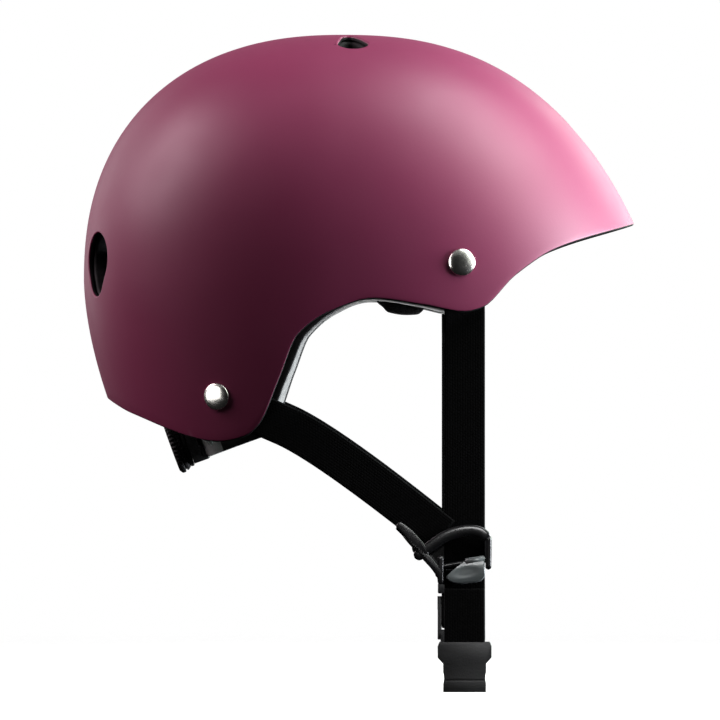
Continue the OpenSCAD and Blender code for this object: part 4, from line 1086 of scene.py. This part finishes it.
def makeCrownPad():
    # an oval pad under the crown, with one ring-shaped seam
    turn = fullTurn(crownPad["around"])
    seat = linerIn + padSizes["gap"] + 0.7
    faced = []
    for inner in (False, True):
        rows = [np.array([[crownX, 0.0, crownH - seat - (padSizes["thick"] * 0.8 if inner else 0.2)]])]
        for j in range(1, crownPad["rings"] + 1):
            r = j / crownPad["rings"]
            z = np.full(turn.shape, crownH - crownPad["drop"] * r * r)
            deep = 0.8 + (padSizes["thick"] - 1.0) * 0.8 * math.sqrt(1.0 - r ** 4 * 0.98) if inner else 0.2
            rows.append(sunk(turn, z, seat + deep + 0.0 * z))
        faced.append(np.concatenate(rows))
    n, shift = crownPad["around"], len(faced[0])
    faces = []
    for k in range(n):
        m = (k + 1) % n
        faces += [(0, 1 + k, 1 + m), (shift, shift + 1 + m, shift + 1 + k)]
        for j in range(crownPad["rings"] - 1):
            a, b = 1 + j * n, 1 + (j + 1) * n
            faces += [(a + k, b + k, b + m, a + m), (shift + a + k, shift + a + m, shift + b + m, shift + b + k)]
        last = 1 + (crownPad["rings"] - 1) * n
        faces.append((last + k, shift + last + k, shift + last + m, last + m))
    piece = addPiece("crownPad", list(np.concatenate(faced)), faces, [blackCloth], "helmet", "pad_cloth")
    blowUp(piece, padSizes["voxel"], padSizes["swelling"])
    width = reach(0.0, np.array(crownH - crownPad["drop"])) * crownPad["seamAt"] * 0.82

    def dents(phi, z):
        away = (crownH - z) / crownPad["drop"]
        ring = (np.sqrt(np.maximum(away, 0)) - crownPad["seamAt"]) * width / crownPad["seamAt"]
        return padSizes["groove"] * np.exp(-(ring / padSizes["grooveWidth"]) ** 2)

    layOnFoam(piece, seat, dents)
    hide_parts("crown_pad")


makeCrownPad()
print("pads made")

# Rivets and washers, turned on the shell's own direction

rivetSizes = {
    "headR": 6.8, "headH": 2.6, "shankR": 2.2, "tab": 0.3, "turns": 96,
    "spots": ((55.0, -12.0), (-65.5, -78.0)), "washerR": 6.2, "washerT": 1.0,
}


def lathe(profile, count, base, axis):
    # a profile of (radius, height) turned about an axis: radius 0 at an end closes it there
    axis = unit(axis)
    side = unit(np.cross(axis, [0.0, 0.0, 1.0]))
    up = np.cross(axis, side)
    turn = fullTurn(count)
    points, rings = [], []
    for r, h in profile:
        rings.append([len(points) + (k if r > 1e-6 else 0) for k in range(count)])
        if r > 1e-6:
            points += list(base + h * axis + r * (np.cos(turn)[:, None] * side + np.sin(turn)[:, None] * up))
        else:
            points.append(base + h * axis)
    faces = []
    for a, b in zip(rings, rings[1:]):
        single = (tuple(dict.fromkeys(face)) for face in ringFaces(a, b))
        faces += [face for face in single if len(face) > 2]
    return points, faces


def gather(parts):
    # one mesh from several
    points, faces = [], []
    for p, f in parts:
        faces += [tuple(i + len(points) for i in face) for face in f]
        points += list(p)
    return points, faces


def rivetSeats():
    # the places of the four rivets on the skin, with its direction there
    for side, _ in sides:
        for x, z in rivetSizes["spots"]:
            phi = np.array([side * math.atan2(float(sideY(np.array(x), np.array(z))), x - crownX)])
            yield skin(phi, np.array([z]))[0], skinNormal(phi, np.array([z]))[0]


def makeRivets():
    r = rivetSizes
    stack = form["shellT"] + r["tab"] + 1.5
    head = [(r["shankR"] - 0.9, -stack - 1.4), (r["shankR"] - 0.9, -stack - 2.0), (r["shankR"] - 0.3, -stack - 2.2),
            (r["shankR"], -stack - 2.0), (r["shankR"], 0.05), (r["headR"] - 0.4, 0.05), (r["headR"] - 0.08, 0.18),
            (r["headR"], 0.42)]
    for k in range(1, 15):
        a = math.pi / 2 * k / 14
        head.append((r["headR"] * math.cos(a) if k < 14 else 0.0, 0.42 + (r["headH"] - 0.42) * math.sin(a)))
    head.insert(0, (0.0, -stack - 1.4))
    low, high, edge, hole = -stack - 1.5, -stack - 0.5, r["washerR"], r["shankR"] + 0.05
    ring = [(hole, low + 0.15), (hole + 0.15, low), (edge - 0.2, low), (edge, low + 0.2), (edge, high - 0.1),
            (edge - 0.1, high), (hole + 0.1, high), (hole, high - 0.1), (hole, low + 0.15)]
    for name, node, profile, mat, slot in (("rivetHeads", "rivets", head, nickel, "nickel"),
                                           ("rivetWashers", "rivet_washers", ring, washerSteel, "washer_steel")):
        turned = gather([lathe(profile, r["turns"], place, out) for place, out in rivetSeats()])
        piece = addPiece(name, *turned, [mat], "helmet", slot)
        piece.data.set_sharp_from_angle(angle=math.radians(40))
        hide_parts(node)


makeRivets()
print("rivets made")

# Webbing: flat woven bands along a route in the plane that each side's straps hang in

webbing = {
    "width": 20.0, "thick": 1.5, "layer": 0.95, "tabGap": 0.3, "tabOver": 11.0, "planeY": 94.1806, "planeX": 56.5,
    "planeTurn": 1.42382, "swingZ": -41.5, "swingSlope": 0.567, "frontTop": -1.0, "frontLow": -163.0,
    "rearSlope": -0.43, "rearMid": (-12.0, -101.0), "rearEnd": (45.5, -147.0), "rearCross": -32.7, "step": 1.6,
    "chinTop": -163.3, "chinTail": -172.5, "loopR": 1.7, "barRight": -201.0, "barLeft": -193.0, "hem": 9.0,
    "hemRise": 1.2, "hemThick": 1.7, "chinStep": 0.9, "bendAbove": 3.0, "bendBelow": -6.0,
}
planeTilt = math.radians(webbing["planeTurn"])
bandAcross = np.array([-1, -0.992, -0.975, -0.95, -0.915, -0.8, -0.6, -0.4, -0.2, 0, 0.2, 0.4, 0.6, 0.8, 0.915, 0.95,
                       0.975, 0.992, 1])


def onPlane(x, z, off, side):
    # side is -1 on the wearer's right; off is the distance outward from the hanging plane
    run = x - webbing["planeX"]
    out = webbing["planeY"] + run * math.sin(planeTilt) + off * math.cos(planeTilt)
    x3 = webbing["planeX"] + run * math.cos(planeTilt) - off * math.sin(planeTilt)
    return np.stack([x3 + 0.0 * z, side * out + 0.0 * z, z + 0.0 * x3], -1)


def swingZ(x):
    return webbing["swingZ"] + webbing["swingSlope"] * (x - webbing["planeX"])


def fallTo(x, z, way):
    # how far along a way the swing line lies from a point
    return (swingZ(x) - z) / (way[1] - webbing["swingSlope"] * way[0])


def hangingBand(route, start, layer, side):
    # the middle surface of a strap: on the shell's inner face at the top, in the hanging plane from the swing line
    step = unit(np.gradient(route, axis=0))
    square = np.stack([-step[:, 1], step[:, 0]], -1)
    across = bandAcross * webbing["width"] / 2
    flat = route[:, None, :] + square[:, None, :] * across[None, :, None]
    x, z = flat[..., 0], flat[..., 1]
    top = start + square[0] * across[:, None]
    along = lengthAlong(route)
    t = along[:, None] / fallTo(top[:, 0], top[:, 1], step[0])[None, :]
    hung = onPlane(x, z, layer, side)
    onShell = sideY(x, np.minimum(z, 0)) - (form["shellT"] + webbing["tabGap"] + webbing["thick"] / 2) * lean(x, z)
    level = webbing["planeY"] + (x - webbing["planeX"]) * math.tan(planeTilt) + layer
    free = smooth((t - 0.6) / 0.4)
    tab = np.minimum(onShell, level * free + onShell * (1 - free))
    tab3 = np.stack([x, side * tab, z], -1)
    part = smooth((t - 0.94) / 0.08)[..., None]
    return tab3 * (1 - part) + hung * part, along


def wovenBand(name, middle, along, body, nodes, hemFrom=None, hemWay=1.0):
    # a closed band round its middle surface, with round edges and cut ends
    face = unit(np.cross(np.gradient(middle, axis=1), np.gradient(middle, axis=0)))
    past = np.maximum(np.abs(bandAcross) * webbing["width"] / 2 - (webbing["width"] - webbing["thick"]) / 2, 0.0)
    half = np.sqrt(np.maximum((webbing["thick"] / 2) ** 2 - past ** 2, 0.0))
    thick = [np.tile(half, (len(along), 1))] * 2
    if hemFrom is not None:  # the end is folded back and sewn, so it is twice as thick
        hemSide = 0 if hemWay > 0 else 1
        thick[hemSide] = thick[hemSide] + (smooth((along - hemFrom) / webbing["hemRise"])[:, None] * half
                                             * webbing["hemThick"])
    outer, inner = middle + face * thick[0][..., None], middle - face * thick[1][..., None]
    points, texture = [], []
    for j, place in enumerate(along):
        points += list(outer[j]) + list(inner[j][::-1][1:-1])
        texture += [(a * webbing["width"] / 2, place) for a in (*bandAcross, *bandAcross[-2:0:-1])]
    faces = tubeFaces(len(along), 2 * len(bandAcross) - 2)
    piece = addPiece(name, points, faces, [nylon], None, "webbing", None, texture)
    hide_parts(*nodes)
    if body:
        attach(piece, body)
    return piece


def evenRoute(points, step):
    # a smooth line through the points, at even steps
    p = np.array(points, float)
    p = np.concatenate([[2 * p[0] - p[1]], p, [2 * p[-1] - p[-2]]])
    fine = []
    for i in range(1, len(p) - 2):
        for t in np.linspace(0, 1, 40, endpoint=False):
            fine.append(0.5 * (2 * p[i] + (p[i + 1] - p[i - 1]) * t
                               + (2 * p[i - 1] - 5 * p[i] + 4 * p[i + 1] - p[i + 2]) * t * t
                               + (3 * p[i] - p[i - 1] - 3 * p[i + 1] + p[i + 2]) * t ** 3))
    fine = np.array(fine + [p[-2]])
    return resample(fine, max(2, int(round(lengthAlong(fine)[-1] / step)) + 1))


def rearRoute():
    # straight from above the rear rivet to the swing line, then in a bow to the divider
    w = webbing
    run = unit(np.array([1.0, w["rearSlope"]]))
    rivet = np.array(rivetSizes["spots"][1])
    start = rivet - w["tabOver"] * run
    cross = rivet + fallTo(*rivet, run) * run
    mid, end = np.array(w["rearMid"]), np.array(w["rearEnd"])
    way = [start, start + 0.33 * (cross - start), start + 0.66 * (cross - start)]
    for t in np.linspace(0, 1, 9):
        way.append(cross * (1 - t) ** 2 + mid * 2 * t * (1 - t) + end * t * t)
    return evenRoute(way, w["step"]), start


def makeStraps():
    # each strap bends where it crosses the swing line
    w = webbing
    for side, word in sides:
        start = np.array([w["planeX"], w["frontTop"]])
        route = evenRoute([start, (w["planeX"], -80.0), (w["planeX"], w["frontLow"])], w["step"])
        front, frontAlong = hangingBand(route, start, -w["layer"], side)
        route, start = rearRoute()
        rear, rearAlong = hangingBand(route, start, w["layer"], side)
        for kind, middle, along in (("front", front, frontAlong), ("rear", rear, rearAlong)):
            piece = wovenBand(kind + "Webbing" + word.title(), middle, along, None,
                              (f"{kind}_strap_{word}", f"strap_tabs_{kind}"))
            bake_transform(piece)


def makeChinStraps():
    # down from the divider, round the bar of the buckle half and up again to a sewn end
    w = webbing
    reachOut = w["loopR"] + w["thick"] / 2
    for side, word in sides:
        bar = w["bar" + word.title()]
        turn = np.linspace(math.pi, 2 * math.pi, 15)
        loop = [(reachOut * math.cos(a), bar + reachOut * math.sin(a)) for a in turn]
        path = [(-w["layer"], w["chinTop"]), (-w["layer"] - 0.2, w["chinTop"] - 7.0),
                (-reachOut + 0.1, bar + 8.0), *loop, (reachOut, bar + 9.0), (reachOut, w["chinTail"])]
        line = evenRoute(path, w["chinStep"])
        along = lengthAlong(line)
        x = w["planeX"] + bandAcross * w["width"] / 2
        middle = np.stack([onPlane(x, np.full(x.shape, z), off, side) for off, z in line])
        wovenBand("chinWebbing" + word.title(), middle, along, word + "_harness", (f"chin_strap_{word}",),
                  along[-1] - w["hem"], float(side))


makeStraps()
makeChinStraps()
print("webbing made")

# Divider: a rounded arch, a claw and cheeks round both straps, with a pivoting lock flap

divider = {  # the four outlines are measured from its middle
    "x": 56.5, "z": -155.0, "near": 2.15, "far": 4.05, "cheek": 68.35, "foot": 44.65, "archWide": 5.6, "innerWide": 5.0,
    "cheekWide": 2.9, "baseWide": 4.4,
    "arch": ((-24.5, -2.5), (-18.0, 2.5), (-9.0, 8.5), (0.0, 11.0), (7.0, 10.5), (11.85, 7.0)),
    "claw": ((-34.2, 13.2), (-28.5, 5.8), (-22.5, -1.0), (-16.5, -7.5), (-13.25, -12.0), (-13.25, -15.5),
             (-10.45, -15.5), (-10.45, -9.0), (-17.2, -1.0), (-22.0, 3.2), (-28.0, 7.9), (-33.0, 12.0)),
    "web": ((-34.0, 13.0), (-28.3, 5.9), (-22.4, -0.8), (-16.4, -7.3), (-13.2, -12.0), (-9.0, -14.0), (-9.0, 11.0),
            (-18.0, 14.0), (-30.0, 14.2)),
    "lip": ((-34.2, 13.2), (-32.0, 16.0), (-25.5, 11.0), (-20.0, 5.0), (-17.2, -1.0), (-22.5, -1.0), (-28.5, 5.8)),
}
lockFlap = {
    "z": -159.5, "off": 2.15, "width": 20.3, "tilt": 10.0, "tip": -5.2, "drop": 10.6, "ease": 0.6, "crown": 20.0,
    "edge": 0.75, "dish": 0.35, "barrelR": 1.8, "slant": 0.95, "barrelFrom": 0.02, "barrelTo": 0.5, "pinR": 1.0,
    "pinOver": 2.5,
}


def roundedBar(path, width, near, far, side, squareness=3.2, around=28):
    # a bar with a rounded section along a path in the hanging plane, its ends rounded too
    line = evenRoute(path, 0.5)
    step = unit(np.gradient(line, axis=0))
    s = lengthAlong(line)
    fromEnd = np.clip(np.minimum(s, s[-1] - s) / (width / 2), 0, 1)
    narrow = np.maximum(np.sqrt(1.0 - (1.0 - fromEnd) ** 2), 0.06)
    turn = fullTurn(around)
    flat, deep = (np.sign(c) * np.abs(c) ** (2 / squareness) for c in (np.cos(turn), np.sin(turn)))
    points = []
    for k in range(len(line)):
        spot = line[k] + np.outer(flat * narrow[k] * width / 2, [-step[k, 1], step[k, 0]])
        thin = 0.35 + 0.65 * narrow[k]
        off = (near + far) / 2 + deep * (far - near) / 2 * thin
        points += list(onPlane(spot[:, 0], spot[:, 1], off, side))
    return points, tubeFaces(len(line), around)


def roundedPlate(outline, near, far, side, edge):
    # a plate in the hanging plane from a closed outline that runs anticlockwise or clockwise, its edges rounded
    corners = np.array(outline, float)
    line = []
    for a, b in zip(corners, np.roll(corners, -1, axis=0)):
        count = max(1, int(np.linalg.norm(b - a) / 0.8))
        line += [a + (b - a) * k / count for k in range(count)]
    line = np.array(line)
    for _ in range(3):  # the corners are eased
        line = 0.5 * line + 0.25 * (np.roll(line, 1, axis=0) + np.roll(line, -1, axis=0))
    way = unit(np.roll(line, -1, axis=0) - np.roll(line, 1, axis=0))
    out = np.stack([way[:, 1], -way[:, 0]], -1)
    x, z = line[:, 0], line[:, 1]
    if np.sum(x * np.roll(z, -1) - z * np.roll(x, -1)) < 0:
        out = -out
    arc = quarterTurn(4)
    rings = [(a, near + edge * (1 - math.cos(a))) for a in arc]
    rings += [(a, far - edge * (1 - math.cos(a))) for a in reversed(arc)]
    points = []
    for a, off in rings:
        spot = line - edge * (1 - math.sin(a)) * out
        points += list(onPlane(spot[:, 0], spot[:, 1], off, side))
    return points, tubeFaces(len(rings), len(line))


def makeDivider(side, word):
    d = divider
    near, far, x, z = d["near"], d["far"], d["x"], d["z"]
    arch, claw, web, lip = ([(x + a, z + b) for a, b in d[key]] for key in ("arch", "claw", "web", "lip"))
    cheek = [(d["cheek"], z + 8.6), (d["cheek"], z + 1), (d["cheek"] - 0.2, z - 8.2)]
    base = [(d["foot"] - 1.2, z - 13.3), (x, z - 13.4), (d["cheek"] - 2.4, z - 13.3)]
    foot = [(d["foot"], z - 15.2), (d["foot"], z - 8), (d["foot"], z - 1.2)]
    parts = [
        roundedBar(arch, d["archWide"], near, far, side, squareness=2.3),
        roundedBar(arch, d["innerWide"], -far, -near, side),
        roundedPlate(claw, -far, far, side, 0.7), roundedPlate(web, -far, -near, side, 0.5),
        roundedPlate(lip, near, far, side, 0.6),
        roundedBar(cheek, d["cheekWide"], -far, far, side, squareness=4.5),
        roundedBar(base, d["baseWide"], -far, -near, side), roundedBar(foot, d["cheekWide"], near, far, side),
    ]
    piece = addPiece("divider" + word.title(), *gather(parts), [blackGloss], word + "_harness", "black_plastic")
    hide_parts("divider_" + word)


def makeFlap(side, word):
    # a lens with a barrel along its upper edge, tilted a little, and a black pin through the barrel
    f = lockFlap
    middle, half = (divider["cheek"] + divider["foot"]) / 2, f["width"] / 2
    tilt = math.radians(f["tilt"])
    u, v = np.meshgrid(-np.cos(np.linspace(0.12, math.pi, 45)), np.linspace(0, 1, 25))
    top = f["tip"] * (1 - np.clip((u + 1) / f["slant"], 0, 1)) ** 1.15
    low = f["tip"] - (f["drop"] + f["tip"]) * (np.sqrt(1 - u * u) + 0.35 * smooth(u))
    lowX = u * (half - f["ease"]) - f["ease"]
    x, z = u * half * (1 - v) + lowX * v, top * (1 - v) + low * v
    inset = np.minimum(np.minimum((1 - np.abs(u)) * half, (1 - v) * (top - low)), 0.7 + 3 * v + 2 * np.maximum(u, 0))
    lip = f["edge"] * (1 - np.sqrt(np.clip(1 - (1 - np.clip(inset / f["edge"], 0, 1)) ** 2, 0, 1)))
    crown = np.sqrt(f["crown"] ** 2 - (z + 5.0) ** 2) - (f["crown"] - 2.0)
    dish = f["dish"] * np.exp(-((u / 0.6) ** 2 + ((z + 5.0) / 2.4) ** 2) ** 2)

    def turned(a, b):
        return middle + a * math.cos(tilt) - b * math.sin(tilt), f["z"] + a * math.sin(tilt) + b * math.cos(tilt)

    lens = closedSlab(onPlane(*turned(x, z), f["off"] + crown - lip - dish, side),
                      onPlane(*turned(x, z), f["off"] - 0.6 + 0.5 * lip, side))
    ends = [onPlane(*turned(np.array([a]), np.array([0.0])), f["off"], side)[0] for a in (0.0, 1.0)]
    axis = ends[1] - ends[0]
    start, end, r = f["barrelFrom"] * f["width"], f["barrelTo"] * f["width"], f["barrelR"]
    barrel = [(0, start), (r - 0.3, start), (r, start + 0.3), (r, end - 0.3), (r - 0.3, end), (0, end)]
    reachOut = half + f["pinOver"]
    pin = [(0, -reachOut), (f["pinR"], -reachOut), (f["pinR"], reachOut), (0, reachOut)]
    parts = [lens, lathe(barrel, 40, ends[0], axis), lathe(pin, 32, ends[0], axis)]
    looks = [look for look, part in zip((0, 0, 1), parts) for _ in part[1]]
    piece = addPiece("lockFlap" + word.title(), *gather(parts), [flapGrey, blackGloss], word + "_lock_flap",
                     "flap_plastic", looks)
    piece.data.set_sharp_from_angle(angle=math.radians(45))
    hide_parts("lock_flap_" + word)


for sideSign, sideWord in sides:
    makeDivider(sideSign, sideWord)
    makeFlap(sideSign, sideWord)
print("dividers made")

# Buckle and fit cradle: moulded parts with their edges rounded

moulded = {  # CAD node: name, body, slot, material, edge radius
    "buckle_socket": ("buckleSocket", "right_harness", "black_plastic", blackSatin, 0.6),
    "buckle_plug": ("bucklePlug", "left_harness", "black_plastic", blackSatin, 0.5),
    "buckle_arm_front": ("buckleArmFront", "front_buckle_arm", "black_plastic", blackSatin, 0.35),
    "buckle_arm_rear": ("buckleArmRear", "rear_buckle_arm", "black_plastic", blackSatin, 0.35),
    "strap_keeper": ("strapKeeper", "keeper", "black_plastic", blackSatin, 0.45),
    "cradle_band": ("cradleBand", "helmet", "cradle_plastic", bandPlastic, 0.5),
    "dial_housing": ("dialHousing", "helmet", "cradle_plastic", cradleBlack, 0.8),
    "housing_cover": ("housingCover", "helmet", "cradle_plastic", cradleBlack, 0.5),
    "cradle_hanger": ("cradleHanger", "helmet", "cradle_plastic", cradleBlack, 0.5),
    "cradle_plugs": ("cradlePlugs", "helmet", "cradle_plastic", cradleBlack, 0.5),
    "dial_pinion": ("dialPinion", "dial", "dial_plastic", dialBlack, 0.15),
    "belt_left": ("beltLeft", "left_belt", "cradle_plastic", cradleBlack, 0.2),
    "belt_right": ("beltRight", "right_belt", "cradle_plastic", cradleBlack, 0.2),
}
for nodeName, (pieceName, bodyName, slotName, finish, radius) in moulded.items():
    softenedCopy(nodeName, pieceName, bodyName, finish, radius)
print("moulded parts made")

# Nape: the cradle leans back, so its pieces are shaped in its own upright position

cradle = {"at": (-12.0, 0.0, -74.0), "tilt": 20.0, "bandR": 67.3855, "bandH": 24.0, "from": 130.0, "to": 230.0,
          "housingHigh": 0.84, "coverWide": 0.77, "coverDeep": 1.15, "back": 74.3855}
dial = {"back": 76.7855, "ribs": 44, "ribDeep": 0.32, "around": 352,
        "profile": ((0.0, 0.0), (2.9, 0.0), (13.3, 0.0), (13.8, 0.15), (14.9, 1.5), (14.9, 2.2), (14.2, 2.35),
                    (14.2, 2.75), (14.9, 2.9), (15.4, 3.1), (15.5, 3.4), (15.5, 4.6), (15.3, 4.95), (14.0, 5.9),
                    (13.6, 6.0), (10.9, 6.0), (10.6, 5.85), (10.4, 4.75), (10.1, 4.6), (0.0, 4.6))}


def inCradle(points):
    t = math.radians(cradle["tilt"])
    x, y, z = points[..., 0], points[..., 1], points[..., 2]
    return np.stack([x * math.cos(t) - z * math.sin(t), y, x * math.sin(t) + z * math.cos(t)], -1) + cradle["at"]


def fromCradle(points):
    t = math.radians(cradle["tilt"])
    x, y, z = np.moveaxis(points - np.array(cradle["at"]), -1, 0)
    return np.stack([x * math.cos(t) + z * math.sin(t), y, z * math.cos(t) - x * math.sin(t)], -1)


def trimCradlePieces():
    # the housing and its cover are drawn in so that the dial hides their lower edges, and the cover reaches the dial
    for name, deep, wide, high in (("dialHousing", 1.0, 1.0, cradle["housingHigh"]),
                                   ("housingCover", cradle["coverDeep"], cradle["coverWide"], cradle["coverWide"])):
        piece = bpy.data.objects[name]
        local = fromCradle(takePoints(piece)) * np.array([1.0, wide, high])
        local[:, 0] = (local[:, 0] + cradle["back"]) * deep - cradle["back"]
        givePoints(piece, inCradle(local))


def makeDial():
    # a turned knob with a groove round it and fine grip ribs on its rim
    d = dial
    base, out = inCradle(np.array([[-d["back"], 0.0, 0.0], [-d["back"] - 1.0, 0.0, 0.0]]))
    points, faces = lathe(d["profile"], d["around"], base, out - base)
    local = fromCradle(np.array(points))
    radius = np.hypot(local[:, 1], local[:, 2])
    turn = np.arctan2(local[:, 2], local[:, 1])
    deep = d["ribDeep"] * (1 - np.cos(d["ribs"] * turn)) * smooth((radius - 13.2) / 1.5)
    local[:, 1:] *= (1 - deep / np.maximum(radius, 1e-6))[:, None]
    piece = addPiece("fitDial", list(inCradle(local)), faces, [dialBlack], "dial", "dial_plastic")
    piece.data.set_sharp_from_angle(angle=math.radians(38))
    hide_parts("fit_dial")


trimCradlePieces()
makeDial()
print("dial made")


napePad = {"around": 40, "rows": 14, "cutCorners": 0.12, "pullSides": 0.1, "inset": 2.3, "thick": 4.0, "swelling": 1.2,
           "voxel": 3.0, "channels": (155, 180, 205), "groove": 1.1, "grooveWidth": 1.3}


def makeNapePad():
    # a soft pad inside the band, with three channels
    c, p = cradle, napePad
    u, v = np.meshgrid(np.linspace(0, 1, p["around"]), np.linspace(0, 1, p["rows"]))
    cut = 1.0 - p["cutCorners"] * (np.abs(2 * u - 1) * np.abs(2 * v - 1)) ** 3
    turn = np.radians(c["from"] + (c["to"] - c["from"]) * (0.5 + (u - 0.5) * cut))
    high = (c["bandH"] / 2 - p["inset"]) * -2 * (v - 0.5) * cut * (1 - p["pullSides"] * 4 * u * (1 - u))
    rise = 0.8 + p["thick"] * swell(u) * swell(v) * padSizes["fullness"]
    faced = [inCradle(np.stack([r * np.cos(turn), r * np.sin(turn), high], -1))
             for r in (c["bandR"] - 0.5 - 0.0 * rise, c["bandR"] - 0.5 - rise)]
    piece = addPiece("napePad", *closedSlab(*faced), [napeCloth], "helmet", "nape_cloth")
    blowUp(piece, p["voxel"], p["swelling"])
    local = fromCradle(takePoints(piece))
    radius = np.hypot(local[:, 0], local[:, 1])
    angle = np.degrees(np.arctan2(local[:, 1], local[:, 0])) % 360
    dent = np.zeros(len(radius))
    for lane in p["channels"]:
        dent = np.maximum(dent, np.exp(-((angle - lane) * math.radians(1) * radius / p["grooveWidth"]) ** 2))
    radius = np.minimum(radius + p["groove"] * dent * smooth((c["bandR"] - 1.8 - radius) / 1.2), c["bandR"] - 0.3)
    local[:, 0], local[:, 1] = radius * np.cos(np.radians(angle)), radius * np.sin(np.radians(angle))
    givePoints(piece, inCradle(local))
    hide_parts("nape_pad")


makeNapePad()
print("nape pad made")

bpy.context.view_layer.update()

linkLights()
